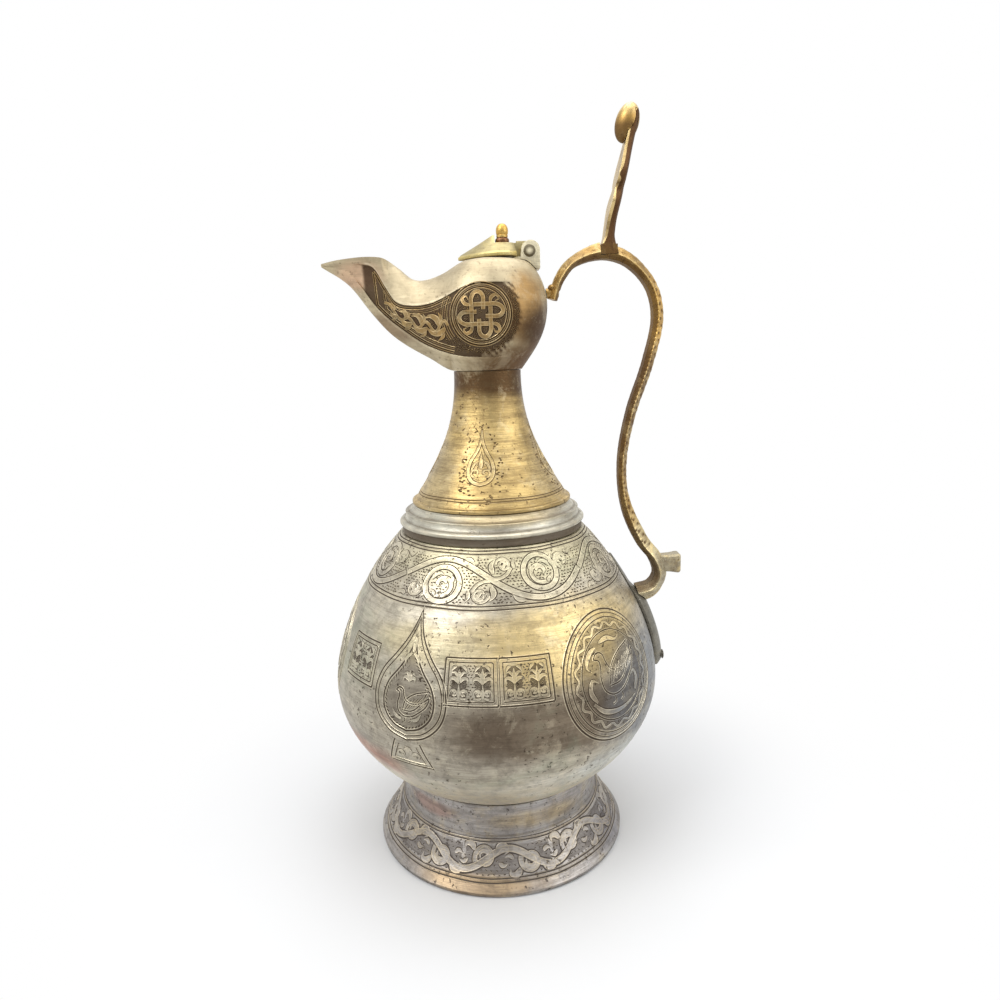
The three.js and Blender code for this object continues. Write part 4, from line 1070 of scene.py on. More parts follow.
def joined(name, parts):
    deselect()
    for part in parts:
        part.select_set(True)
    bpy.context.view_layer.objects.active = parts[0]
    if len(parts) > 1:
        bpy.ops.object.join()
    piece = bpy.context.object
    piece.name = name
    return piece


def engraved_round(name, drawing, outline, base_height, base_radius, turns):
    """The same drawing laid on a turned surface once for each turn."""
    return [wrap_round(engrave(name, drawing), outline, base_height, base_radius, turn)
            for turn in turns]


def ruled_round(name, outline, base_height, base_radius, heights, width=1.25):
    return engraved_round(name, rules(2 * math.pi * base_radius, heights, width), outline,
                          base_height, base_radius, [0])


def make_shoulder_band():
    base, radius = 132.4, 52
    return joined("shoulder_band", [
        *engraved_round("shoulder_quarter", shoulder_quarter(), bowl_side, base, radius,
                        [quarter * 90 - 1 for quarter in range(4)]),
        *ruled_round("shoulder_rules", bowl_side, base, radius, (-1.5, 0.1, 22.9, 24.4))])


def make_belly_engraving():
    return joined("belly_engraving", [
        *engraved_round("roundel", belly_roundel(), bowl_side, 100, 74.2, (42, 138, -90)),
        *engraved_round("drop", belly_drop(), bowl_side, 80.2, 74.2, (-29.5, -150.5)),
        *engraved_round("panel", belly_panel(), bowl_side, 97, 73.4,
                        (-8.6, 9.0, -53.5, 170.4, 187.8, -126.5))])


def make_foot_engraving():
    waves, base = 8, 6.8
    return joined("foot_engraving", [
        *engraved_round("scroll", foot_scroll(), foot_flare, base, waves * foot_wave / (2 * math.pi),
                        [k * 360 / waves - 20 for k in range(waves)]),
        *ruled_round("foot_rules", foot_flare, base, 54, (-1.9, -0.2, 14.6, 15.9))])


def make_neck_engraving():
    return joined("neck_engraving", [
        *engraved_round("neck_drop", neck_drop(), neck_side, 177.2, 26.5, (-9.7, 80.3, 170.3, 260.3)),
        *ruled_round("neck_rules", neck_side, 170.2, 32, (0, 1.2), 0.9)])


# The head's side panel

# The table of the head's flank, read at shares of the spout's reach and at heights
panel_columns = np.linspace(-0.8, 0.34, 140)
panel_rows = np.linspace(2.0, 47.0, 150)
roundel_x, roundel_z = -1.9, 248.6


def head_face_table():
    """How far the head's flank stands out at each place, with its panel sunk."""
    table = np.zeros((len(panel_columns), len(panel_rows)))
    for i, column in enumerate(panel_columns):
        if column < 0:
            side, _, _, low, high, panel_low, panel_high = head_side(-column, 0)
            depth = panel_depth * ease((0.8 + column) / 0.05)
            for j, height in enumerate(panel_rows):
                sunk = panel_sunk(height, panel_low, panel_high, depth)
                table[i, j] = radius_at(side, min(max(height, low), high)) - sunk
        else:
            side, _, _, low, high, panel_low, panel_high = head_side(0, 0)
            for j, height in enumerate(panel_rows):
                radius = radius_at(side, height)
                across = column * spout_reach
                turn = math.asin(min(across / max(radius, 1e-6), 1))
                depth = panel_depth * ease((math.radians(30) - turn) / math.radians(22))
                radius -= panel_sunk(height, panel_low, panel_high, depth)
                table[i, j] = math.sqrt(max(radius ** 2 - across ** 2, 0.01))
    return table


def wrap_on_head(piece, table, side):
    """Lay a flat drawing of (x, height above the table) on the head's flank."""
    x, z, lift = flat_points(piece).T
    column = np.clip((x / spout_reach - panel_columns[0]) / (panel_columns[1] - panel_columns[0]),
                     0, len(panel_columns) - 1.001)
    row = np.clip((z - head_base - panel_rows[0]) / (panel_rows[1] - panel_rows[0]),
                  0, len(panel_rows) - 1.001)
    i, j = column.astype(int), row.astype(int)
    u, v = column - i, row - j
    out = (table[i, j] * (1 - u) * (1 - v) + table[i + 1, j] * u * (1 - v)
           + table[i, j + 1] * (1 - u) * v + table[i + 1, j + 1] * u * v)
    step_x = (panel_columns[1] - panel_columns[0]) * spout_reach
    step_z = panel_rows[1] - panel_rows[0]
    slope_x = (table[i + 1, j] - table[i, j]) / step_x
    slope_z = (table[i, j + 1] - table[i, j]) / step_z
    size = np.sqrt(1 + slope_x ** 2 + slope_z ** 2)
    y = -(out + lift / size)
    place = np.stack([x - lift * slope_x / size, y, z - lift * slope_z / size], axis=1)
    if side > 0:
        place[:, 1] *= -1
    place_points(piece, place)
    if side > 0:
        edit(piece)
        bpy.ops.mesh.flip_normals()
        bpy.ops.object.mode_set(mode="OBJECT")
    return piece


def head_panel_art():
    """A frame along the panel's edges, a knotted roundel and a leafy branch towards the lip."""
    art = Drawing()

    def at(share, rise):
        """A place in the panel: rise is 0 on its lower edge and 1 on its upper one."""
        height = mix(panel_bottom_line(share), panel_top_line(share), rise)
        return (-share * spout_reach, head_base + height)

    shares = np.linspace(0.2, 0.66, 48)
    top = np.array([at(s, 1) for s in shares]) + (-0.4, -1.4)
    low = np.array([at(s, 0) for s in shares]) + (0.5, 1.3)
    art.line(evenly(top, 0.7), 1.2)
    art.line(evenly(low, 0.7), 1.2)
    art.line(evenly(top[:-5] + (0.5, -1.7), 0.7), 1.0)
    art.line(evenly(low[:-5] + (0.4, 1.7), 0.7), 1.0)
    art.line(evenly([top[-1], low[-1]], 0.7), 1.1)
    art.line(evenly([top[-6] + (0.5, -1.7), low[-6] + (0.4, 1.7)], 0.7), 1.0)
    art.line(circle(roundel_x, roundel_z, 12.6, 0.7), 1.4, closed=True)
    art.line(circle(roundel_x, roundel_z, 10.9, 0.7), 1.2, closed=True)
    knot = Drawing()
    for quarter in range(4):
        loop = Drawing()
        loop.strap(through([(-3.4, -2.6), (-3.4, 2), (-3.4, 5.6), (-2.2, 7.6), (-0.6, 7.8), (0.7, 6.4),
                            (0.8, 3.6), (0.8, 1.6)], 0.6), 1.8)
        loop.leaf(through([(3.2, 3.4), (3.8, 5.8), (5.6, 6.6), (6.4, 5.2), (5.0, 4.4)], 0.5), 1.6)
        loop.pit(6.6, 2.4, 1.0, 0.8, 0.9)
        knot.add(loop, turn=quarter * math.pi / 2)
    art.add(knot, x=roundel_x, y=roundel_z, scale=1.16)
    for radius, width in ((15.2, 1.2), (17.0, 1.0)):
        art.line(arc(roundel_x + 0.4, roundel_z, radius, 150, 216, 0.7), width)
    art.strap([at(share, 0.48 + 0.1 * math.sin((share - 0.22) * 58))
               for share in np.linspace(0.222, 0.61, 60)], 1.3)
    for k, share in enumerate((0.245, 0.285, 0.35, 0.39, 0.445, 0.485, 0.53, 0.565)):
        below = k % 2 == 0
        leaf = Drawing()
        leaf.leaf(through([(0.6, 0.4), (-1.4, 2.8), (-4.4, 3.2), (-6.6, 1.6)], 0.5), 2.5)
        leaf.leaf(through([(-0.2, 1.8), (0.2, 3.8), (-1.4, 5.6)], 0.5), 1.7)
        lean = math.radians(mix(14, 56, k / 7))
        art.add(leaf, *at(share, 0.48), turn=(math.pi if below else 0) - lean, flip=below,
                scale=mix(1.1, 0.45, k / 7))
    ground = Drawing()
    free = clear_of(art, 0.1)

    def inside(px, pz):
        share = -px / spout_reach
        behind_roundel = px > -8 and math.hypot(px - roundel_x, pz - roundel_z) > 16
        if behind_roundel or share > 0.62:
            return False
        low_z = head_base + panel_bottom_line(max(share, 0)) + 2.2
        high_z = head_base + panel_top_line(max(share, 0)) - 2.2
        return low_z < pz < high_z and free(px, pz)

    rows_of_pits(ground, -46, 15, 231, 272, 1.35, inside, 1.5)
    art.strokes += ground.strokes
    return art


def make_head_engraving():
    table = head_face_table()
    art = head_panel_art()
    parts = [wrap_on_head(engrave("head_panel", art), table, side) for side in (-1, 1)]
    return joined("head_engraving", parts)


# Handle, its rivets, the leaf, the thumb piece and the egg-shaped knob

stub_end = handle_high[0] - axis_x
handle_width = handle_high[1] - handle_low[1]
arch_top = 274.3
arch_x = 52.5
grip_x, grip_z = 61.8, 178
heel_x, heel_z = 79.2, 128.6
root_z = 118.4
pad_z = 255.2
rivet_radius = 1.5
rivet_head = 2.3
top_rivet_z = 258
pad_face = bulb_radius + 4.7
leaf_low, leaf_high = box_of("escutcheon")
leaf_half_width = 9
leaf_thickness = 4.6
leaf_rivet_z = leaf_low[2] + 5
thumb_x = 55.1
thumb_lean = 12.2
thumb_thickness = 4.4
thumb_base_thickness = 7.2
blade_base = arch_top + 1
blade_top = box_of("thumb_piece")[1][2]


def body_face(height):
    return radius_at(bowl_side, height)


handle_line = through([
    (bulb_radius + 2.5, pad_z), (bulb_radius + 3.4, pad_z + 3.4), (bulb_radius + 5.8, pad_z + 9.2),
    (mix(bulb_radius, arch_x, 0.46), arch_top - 3.4), (arch_x, arch_top), (arch_x + 11.5, arch_top - 3.2),
    (74.1, arch_top - 13.6), (77.5, arch_top - 27.5), (mix(grip_x, 77.5, 0.73), grip_z + 48),
    (mix(grip_x, 77.5, 0.24), grip_z + 25), (grip_x, grip_z), (grip_x + 2.6, grip_z - 20.5),
    (grip_x + 9.6, grip_z - 36), (heel_x - 1.9, heel_z + 5.6), (heel_x + 0.4, heel_z - 2.6),
    (heel_x - 3.2, heel_z - 8.3), (body_face(root_z) + 2.4, root_z)], 0.42)


def strap_section(width, outside, inside):
    """Half the bevelled strap as (across, out, tone), from the middle of its back to the
    middle of its face; the ridges are rounded over and brightened as wear and painted highlight,
    and the back and its inner bevels are darkened as painted shade."""
    ridge = mix(-inside, outside, 0.38)
    return [
        (0, -inside, -0.8),
        (width * 0.2, -inside, -0.8),
        (width * 0.28 - 0.15, -inside, -0.8),
        (width * 0.28 + 0.15, -inside + 0.2, -0.7),
        (width * 0.39, mix(-inside, ridge, 0.5), -0.75),
        (width * 0.5 - 0.25, ridge - 0.35, -0.5),
        (width * 0.5, ridge, 0.7),
        (width * 0.5 - 0.25, ridge + 0.35, 0.3),
        (width * 0.42, mix(ridge, outside, 0.3), 0.0),
        (width * 0.28, mix(ridge, outside, 0.75), 0.0),
        (width * 0.2 + 0.25, outside - 0.25, 0.4),
        (width * 0.2 - 0.25, outside, 0.8),
        (width * 0.1, outside, 0.3),
        (0, outside, 0.2),
    ]


def strap_ring(i, t, along):
    """One ring of the strap, with the tone of each of its points."""
    x, z = handle_line[i]
    out_x, out_z = -along[1], along[0]
    towards_grip = math.exp(-(((z - grip_z) / 34) ** 2))
    at_pad = ease((0.07 - t) / 0.06)
    at_heel = ease((t - 0.89) / 0.04)
    at_root = ease((t - 0.94) / 0.06)
    before = ease((x - thumb_x + 18) / 18) * ease((thumb_x - x) / 2)
    after = ease((thumb_x + 18 - x) / 18) * ease((x - thumb_x) / 2)
    half = mix(mix(4.8, 4.0, towards_grip), 4.2, at_pad) / 2
    arch_extra = 2.6 * (before + 0.55 * after) if t < 0.4 else 0
    lower_extra = mix(1.5 * ease((t - 0.7) / 0.12), 1.3, at_heel) + 2.6 * at_root
    outside = half + arch_extra + lower_extra
    width = handle_width * (1 - 0.3 * at_pad - 0.08 * towards_grip - 0.12 * at_root)
    wave = 0.09 + 0.07 * math.sin(i * 0.83) + 0.05 * math.sin(i * 0.31 + 1)
    bead = 0.2 * max(0, math.sin(i * 1.35)) if 0.26 < t < 0.86 else 0
    section = strap_section(width, outside, half)
    ring, tones = [], []
    for across, out, shade in section + [(-a, n, s) for a, n, s in section[-2:0:-1]]:
        worn = wave * (0.6 if shade > 0.5 else 0.3)
        notch = bead if abs(across) > width * 0.45 else 0
        nicked = out > 0 and 0.26 < t < 0.86 and abs(across) > width * 0.15
        nick = ease((math.sin(i * 0.42 + abs(across) * 1.7) - 0.7) / 0.2) if nicked else 0
        out -= math.copysign(worn, out) + 0.14 * nick
        across -= math.copysign(min(notch + worn * 0.5, abs(across)), across)
        ring.append((x + out_x * out, across, z + out_z * out))
        tones.append(shade - notch * 2.5 - 1.1 * nick)
    return ring, tones


def ball(radii, place, steps=32):
    deselect()
    bpy.ops.mesh.primitive_uv_sphere_add(
        segments=steps, ring_count=steps // 2, radius=1, location=place)
    piece = bpy.context.object
    piece.scale = radii
    bpy.ops.object.transform_apply(location=True, rotation=True, scale=True)
    return piece


def block(low, high):
    deselect()
    middle = [(a + b) / 2 for a, b in zip(low, high)]
    bpy.ops.mesh.primitive_cube_add(size=1, location=middle)
    piece = bpy.context.object
    piece.scale = [b - a for a, b in zip(low, high)]
    bpy.ops.object.transform_apply(location=True, rotation=True, scale=True)
    return piece


def plate(name, outline, y_low, y_high):
    """An outline of (x, z) pairs drawn out along Y."""
    deselect()
    bpy.ops.mesh.primitive_circle_add(vertices=len(outline), radius=1, fill_type="NGON")
    piece = bpy.context.object
    piece.name = name
    place_points(piece, [(x, y_low, z) for x, z in outline])
    edit(piece)
    bpy.ops.mesh.extrude_region_move(TRANSFORM_OT_translate={"value": (0, y_high - y_low, 0)})
    turn_outwards()
    return piece


def moved(piece, shift):
    place_points(piece, flat_points(piece) + np.array(shift))
    return piece


def tipped_to_x(piece):
    """Turn a piece that was spun round the Z axis so that its axis runs along X."""
    x, y, z = flat_points(piece).T
    place_points(piece, np.stack([z, y, -x], axis=1))
    return piece


leaf_outline = smooth_line([
    (0, 0.16), (0.12, 0.62), (0.3, 1), (0.5, 0.8), (0.66, 0.66), (0.78, 0.8), (0.92, 0.4), (1, 0.06)])


def leaf_plate(name, grow, steps=72, across=20):
    """The thick leaf that follows the belly's side and thins out under the handle's root."""
    rings = []
    for i in range(steps + 1):
        t = i / steps
        height = mix(leaf_low[2] - grow, leaf_high[2] + grow, t)
        inner = body_face(height) + gap - grow * 2
        half_angle = math.asin((leaf_half_width * leaf_outline(t) + grow) / inner)
        fullness = ease((0.77 - t) / 0.17) * ease((t + 0.08) / 0.16)
        thick = mix(1, leaf_thickness, fullness)
        ring = [(inner, turn) for turn in np.linspace(-half_angle, half_angle, across + 1)]
        for turn in np.linspace(half_angle, -half_angle, across + 1):
            share = turn / half_angle
            rounded = 1 - 0.72 * share ** 2
            ring.append((inner + thick * rounded + grow * 3, turn))
        rings.append([(r * math.cos(turn), r * math.sin(turn), height) for r, turn in ring])
    return closed_skin(name, rings)


def slot_box():
    half = thumb_base_thickness / 2 + gap
    return block((thumb_x - half, -handle_width, arch_top - 0.6 - gap),
                 (thumb_x + half, handle_width, arch_top + 20))


def make_handle():
    count = len(handle_line) - 1
    along = np.gradient(handle_line, axis=0)
    along /= np.linalg.norm(along, axis=1)[:, None]
    rings, tones = zip(*[strap_ring(i, i / count, along[i]) for i in range(count + 1)])
    strap = closed_skin("strap_handle", rings, tones)
    start, middle_z = heel_x - 1, 131.5
    square = [(-1, -0.8), (-0.8, -1), (0.8, -1), (1, -0.8), (1, 0.8), (0.8, 1), (-0.8, 1), (-1, 0.8)]
    stub = closed_skin("stub", [
        [(x, across * width / 2, middle_z + up * height / 2) for across, up in square]
        for x, width, height in [
            (start, 5.9, 8), (start + 3, 5.9, 7.9), (mix(start, stub_end, 0.6), 6.6, 8.2),
            (stub_end - 1.4, 7.4, 9.2), (stub_end - 0.5, 7.2, 9.0), (stub_end, 6.4, 8.2)]])
    boss = rod(rivet_head, 5, (bulb_radius + 2, 0, top_rivet_z), "x", 32)
    solder = ball((1.8, 3.3, 1.6), (bulb_radius + 2.2, 0, 260.4))
    handle = cut(strap, stub, boss, solder, operation="UNION")
    return cut(
        handle,
        head_skin(-gap),
        leaf_plate("leaf_cutter", gap),
        rod(rivet_radius + gap, 30, (bulb_radius, 0, top_rivet_z), "x", 32),
        rod(rivet_head + gap, 8, (pad_face - gap + 4, 0, top_rivet_z), "x", 32),
        slot_box())


def make_rivet(name, face, inside, height):
    """A rivet along X: its domed head outside, its clenched end inside the wall."""
    dome = tipped_to_x(turned(name, [
        (0, 0), (rivet_head - 0.1, 0), (rivet_head, 0.15), (rivet_head * 0.94, 0.42),
        (rivet_head * 0.76, 0.66), (rivet_head * 0.42, 0.84), (0, 0.9)], 40))
    moved(dome, (face - 0.1, 0, height))
    shank = rod(rivet_radius, face - inside, ((face + inside) / 2, 0, height), "x", 32)
    clench = rod(rivet_head, 0.9, (inside + 0.45, 0, height), "x", 32)
    return bevelled(cut(dome, shank, clench, operation="UNION"), 0.12, 1)


def make_top_rivet():
    inside = box_of("handle_top_rivet")[0][0] - axis_x
    return make_rivet("handle_rivet", pad_face, inside, top_rivet_z)


def make_leaf_rivet():
    inside = box_of("escutcheon_rivet")[0][0] - axis_x
    face = body_face(leaf_rivet_z) + gap + leaf_thickness + gap
    return make_rivet("leaf_rivet", face, inside, leaf_rivet_z)


def make_escutcheon():
    leaf = leaf_plate("leaf_plate", 0)
    cut(leaf, rod(rivet_radius + gap, 30, (body_face(leaf_rivet_z), 0, leaf_rivet_z), "x", 32))
    return bevelled(leaf, 0.3, 2, 50)


blade_width = smooth_line([
    (0, 5.9), (0.12, 5), (0.22, 5.3), (0.34, 8.6), (0.41, 7.4), (0.455, 5), (0.5, 7.6), (0.58, 8.6),
    (0.74, 5.6), (1, 3.6)])

# The width of the bright strip along the blade's front edges
blade_strip = smooth_line([
    (0, 0.2), (0.16, 1.2), (0.34, 1.3), (0.42, 0.7), (0.5, 1.4), (0.53, 0.3), (0.6, 1.2), (0.8, 0.9),
    (1, 0.4)])


def blade_middle(t):
    return thumb_x + thumb_lean * t ** 1.25 - 0.6 * math.sin(math.pi * min(t * 2.2, 1))


def blade(name, grow):
    """The lobed upright plate; its front and a strip along its front edges are brightened, and its side
    faces and back are darkened.
    """
    rings, tones = [], []
    for t in np.linspace(0, 1, 91):
        flare = ease((0.12 - t) / 0.12)
        half = mix(thumb_thickness, thumb_base_thickness, flare) / 2 * (1 - 0.25 * t)
        half = half * math.sqrt(1 - 0.9 * max(0, (t - 0.86) / 0.14) ** 2) + grow
        width = mix(blade_width(t), min(blade_width(t), handle_width * 0.42), ease(1 - t * 12)) + grow
        middle = blade_middle(t)
        height = mix(blade_base - grow, blade_top + grow, t)
        front, shoulder, back = width * 0.895, width, width * 0.65
        edge = blade_strip(t) - half
        ridge = half * 0.35
        ring = [(-half, -front), (-half, -front * 0.5), (-half, front * 0.5), (-half, front),
                (edge, front + 0.25), (edge + 0.1, front + 0.27), (ridge, shoulder),
                (ridge + 0.3, shoulder - 0.25), (half, back), (half, -back),
                (ridge + 0.3, -shoulder + 0.25), (ridge, -shoulder),
                (edge + 0.1, -front - 0.27), (edge, -front - 0.25)]
        tones.append([1, 0.7, 0.7, 1, 0.9] + [-0.9] * 8 + [0.9])
        rings.append([(middle + x, y, height) for x, y in ring])
    return closed_skin(name, rings, tones)


def make_thumb_piece():
    half, across = thumb_base_thickness / 2, handle_width * 0.42
    foot = block((thumb_x - half, -across, arch_top - 0.6), (thumb_x + half, across, arch_top + 3.6))
    return cut(blade("thumb_blade", 0), foot, operation="UNION")


def make_thumb_knob():
    """The egg, set on the front of the blade's top."""
    height = blade_top - 4.7
    share = (height - blade_base) / (blade_top - blade_base)
    egg = ball((5.05, 5.05, 8.4), (0, 0, 0), 56)
    egg.name = "egg_knob"
    egg.rotation_euler = (0, math.radians(16), 0)
    take(egg)
    bpy.ops.object.transform_apply(location=False, rotation=True, scale=False)
    moved(egg, (blade_middle(share) - 2.6, 0, height))
    # Painted light and shade: the tone darkens the egg's lower part and brightens it towards its top.
    tone_attribute(egg, np.clip((flat_points(egg)[:, 2] - height - 1.5) / 4, -0.75, 1))
    return bevelled(cut(egg, blade("egg_cutter", gap)), 0.2, 1, 50)


# Lid, knob, washer, hinge bracket and pin

crown_z = head_base + crown_height
bracket_low, bracket_high = box_of("hinge_bracket")
lid_low, lid_high = box_of("lid")
washer_low, washer_high = box_of("knob_washer")
knob_low, knob_high = box_of("lid_knob")
bracket_front = bracket_low[0] - axis_x
bracket_back = bracket_high[0] - axis_x
plate_top = crown_z + gap + 1
pin_radius = 1.1
ear_inner = 2.75
ear_outer = ear_inner + 2.8
ear_radius = 4.1
ear_rise = 4.5
tenon_radius = 1.1
lid_front = lid_low[0] - axis_x
lid_back = 14.4
lid_half_width = lid_high[1]
lid_edge = 1.6
lid_top = lid_high[2]
knob_x = (knob_low[0] + knob_high[0]) / 2 - axis_x
knob_seat = washer_low[2] - gap


def lid_underside(x):
    return plate_top + gap + (x - lid_back) * 0.03


def make_bracket():
    """A plate bent over the head's shoulder, with two ears for the pin."""
    base = plate("lid_bracket", [
        (bracket_front, plate_top - 12), (bracket_front, plate_top), (bracket_back - 1, plate_top),
        (bracket_back, plate_top - 2), (bracket_back, plate_top - 12)], -ear_outer, ear_outer)
    top_x, top_z = hinge_x + 0.5, hinge_z + ear_rise - ear_radius
    crown = arc(top_x, top_z, ear_radius, 180, 0, 0.4)
    ear = [(top_x - ear_radius - 0.6, plate_top - 3), *crown, (bracket_back, plate_top - 5)]
    ears = [plate("ear", ear, low, high)
            for low, high in ((-ear_outer, -ear_inner), (ear_inner, ear_outer))]
    bracket = cut(base, *ears, operation="UNION")
    cut(bracket,
        head_skin(-gap),
        block((bracket_front - 2, -20, plate_top - 20), (bracket_back + 4, 20, plate_top - 5)),
        rod(pin_radius + 0.1, 20, (hinge_x, 0, hinge_z), "y", 32))
    return bevelled(bracket, 0.25, 2, 40)


def make_pin():
    pin = rod(pin_radius, 2 * ear_outer + 1, (hinge_x, 0, hinge_z), "y", 32)
    for side in (-1, 1):
        deselect()
        bpy.ops.mesh.primitive_cone_add(
            vertices=40, radius1=2.6, radius2=1.82, depth=0.9,
            location=(hinge_x, side * (ear_outer + 0.6), hinge_z), rotation=(-side * math.pi / 2, 0, 0))
        bpy.ops.object.transform_apply(location=True, rotation=True, scale=True)
        pin = cut(pin, bpy.context.object, operation="UNION")
    pin.name = "lid_pin"
    edit(pin)
    bpy.ops.mesh.poke()
    bpy.ops.object.mode_set(mode="OBJECT")
    x, _, z = flat_points(pin).T
    away = np.hypot(x - hinge_x, z - hinge_z)
    tone_attribute(pin, np.where(away < 1.1, 0.3, -0.9))
    return pin


def make_lid():
    """The faceted wedge: a yellow rim band, facets up to the ridge, and its tongue."""
    length = lid_back - lid_front
    plan = [(lid_front, 0), (lid_front + length * 0.2, lid_half_width * 0.56),
            (lid_front + length * 0.45, lid_half_width * 0.9), (lid_front + length * 0.68, lid_half_width),
            (lid_front + length * 0.88, lid_half_width * 0.88), (lid_back, lid_half_width * 0.62)]
    loop = plan + [(x, -y) for x, y in plan[:0:-1]]

    def ring(drawn_in, height, tone):
        points = []
        for x, y in loop:
            ridge_x = knob_x - 4.4 + 8 * min(1, max(0, (x - lid_front) / length - 0.3)) / 0.7
            points.append((mix(x, ridge_x, drawn_in), mix(y, 0.9 * y / lid_half_width, drawn_in), height(x)))
        return points, [tone] * len(points)

    def facet(share, sag=0):
        """Heights on the facets: share is 0 at the rim band and 1 on the ridge."""
        return lambda x: mix(lid_underside(x) + lid_edge, lid_top, share) - sag

    rise = lid_top - lid_underside(lid_back) - lid_edge
    rows, tones = zip(
        ring(0.02, lid_underside, 0.2),
        ring(0, lambda x: lid_underside(x) + 0.3, 0.5),
        ring(0, lambda x: lid_underside(x) + lid_edge - 0.3, 0.9),
        ring(0.03, facet(0), 0.9),
        ring(0.07, facet(0.07), -0.2),
        ring(0.5, facet(0.5, 0.1 * rise / 8), -0.1),
        ring(0.93, facet(0.93), 0.2),
        ring(1, lambda x: lid_top, 0.9))
    wedge = closed_skin("wedge_lid", rows, tones)
    tongue_top = hinge_z + ear_rise
    curl = arc(hinge_x, hinge_z, 2.1, 45, -90, 0.3)
    tongue = plate("tongue", [
        (lid_back - 3, lid_underside(lid_back) + 0.2), (lid_back - 3, tongue_top),
        (hinge_x - 0.6, tongue_top), (hinge_x + 1.47, hinge_z + 1.89), *curl,
        (lid_back + 1, lid_underside(lid_back) + 0.2)], -2.5, 2.5)
    lid = cut(wedge, tongue, operation="UNION")
    cut(lid,
        rod(pin_radius + 0.25, 10, (hinge_x, 0, hinge_z), "y", 32),
        rod(tenon_radius + gap, 40, (knob_x, 0, lid_top), "z", 32),
        block((knob_x - 3.4, -15, knob_seat), (knob_x + 6, 15, knob_seat + 10)))
    return bevelled(lid, 0.18, 2, 25)


def make_washer():
    base, top = washer_low[2], washer_high[2]
    ring = turned("copper_washer", [
        (1.4, base), (3.0, base), (3.1, base + 0.15), (3.1, mix(base, top, 0.5)),
        (3.02, mix(base, top, 0.75)), (2.7, top), (1.4, top)], 48)
    return moved(ring, (knob_x, 0, 0))


def make_knob():
    base, top = washer_high[2] + gap, knob_high[2]
    length = top - base
    dome = bezier([(2.7, base + length * 0.45), (2.7, base + length * 0.8), (1.62, top), (0, top)], 16)
    knob = turned("dome_knob", [
        (0, knob_low[2]), (tenon_radius, knob_low[2]), (tenon_radius, base), (2.3, base),
        (2.5, base + 0.15), (2.55, base + 0.9), (2.35, base + 1.2), (2.62, base + 1.6)] + dome, 48)
    return moved(knob, (knob_x, 0, 0))


# Materials

def metal_colour(red, green, blue):
    """A colour given as a screen shows it, as the linear colour that shaders take."""
    linear = [((c / 255 + 0.055) / 1.055) ** 2.4 if c > 10 else c / 3294.6 for c in (red, green, blue)]
    return (*linear, 1)


def add(tree, kind, *values, **settings):
    """Add a shader node, set its options, and set or wire its inputs in order."""
    node = tree.nodes.new("ShaderNode" + kind)
    for option, value in settings.items():
        setattr(node, option, value)
    for socket, value in zip(node.inputs, values):
        wire(tree, socket, value)
    return node


def wire(tree, socket, value):
    if isinstance(value, bpy.types.NodeSocket):
        tree.links.new(value, socket)
    elif value is not None:
        socket.default_value = value


def blend(tree, share, a, b):
    """Mix two colours."""
    unused = [None] * 5
    return add(tree, "Mix", share, *unused, a, b, data_type="RGBA").outputs[2]


def math_node(tree, operation, a, b=None, c=None, clamp=False):
    return add(tree, "Math", a, b, c, operation=operation, use_clamp=clamp).outputs[0]


def ramp(tree, value, low, high, to_low=0.0, to_high=1.0):
    return add(tree, "MapRange", value, low, high, to_low, to_high,
               interpolation_type="SMOOTHSTEP").outputs[0]


def noise(tree, place, scale, detail=3.0, roughness=0.5, distortion=0.0):
    node = add(tree, "TexNoise", place, None, scale, detail, roughness)
    node.inputs["Distortion"].default_value = distortion
    return node.outputs[0]


def stretched(tree, place, scale):
    return add(tree, "VectorMath", place, scale, operation="MULTIPLY").outputs[0]


def new_group(name, inputs, outputs):
    tree = bpy.data.node_groups.new(name, "ShaderNodeTree")
    for in_out, sockets in (("INPUT", inputs), ("OUTPUT", outputs)):
        for label, kind in sockets:
            tree.interface.new_socket(name=label, in_out=in_out, socket_type="NodeSocket" + kind)
    return tree, tree.nodes.new("NodeGroupInput").outputs, tree.nodes.new("NodeGroupOutput").inputs


def use(tree, group, **inputs):
    node = tree.nodes.new("ShaderNodeGroup")
    node.node_tree = group
    for label, value in inputs.items():
        wire(tree, node.inputs[label], value)
    return node.outputs


def tool_marks_group():
    """Turning and filing marks, shallow dents, pits and fine grain."""
    tree, given, out = new_group(
        "tool_marks", [("Place", "Vector"), ("Streaks", "Float"), ("Pits", "Float"), ("Dents", "Float")],
        [("Height", "Float"), ("Streak", "Float"), ("Pit", "Float")])
    place = given["Place"]
    broad = noise(tree, stretched(tree, place, (1, 1, 12)), 34, 5, 0.62)
    fine = noise(tree, stretched(tree, place, (1, 1, 26)), 120, 4, 0.7)
    streak = math_node(tree, "MULTIPLY_ADD", fine, 0.5, math_node(tree, "MULTIPLY", broad, 0.5))
    dents = noise(tree, place, 42, 2, 0.5)
    pit = ramp(tree, noise(tree, place, 520, 3, 0.6), 0.6, 0.68)
    pit = math_node(tree, "MULTIPLY", pit, ramp(tree, noise(tree, place, 38, 2), 0.34, 0.58))
    grain = noise(tree, place, 1500, 2, 0.5)
    height = math_node(tree, "MULTIPLY", streak, given["Streaks"])
    height = math_node(tree, "MULTIPLY_ADD", dents, given["Dents"], height)
    height = math_node(tree, "MULTIPLY_ADD", grain, 0.05, height)
    sunk = math_node(tree, "MULTIPLY", pit, given["Pits"])
    tree.links.new(math_node(tree, "SUBTRACT", height, sunk), out["Height"])
    tree.links.new(streak, out["Streak"])
    tree.links.new(sunk, out["Pit"])
    return tree


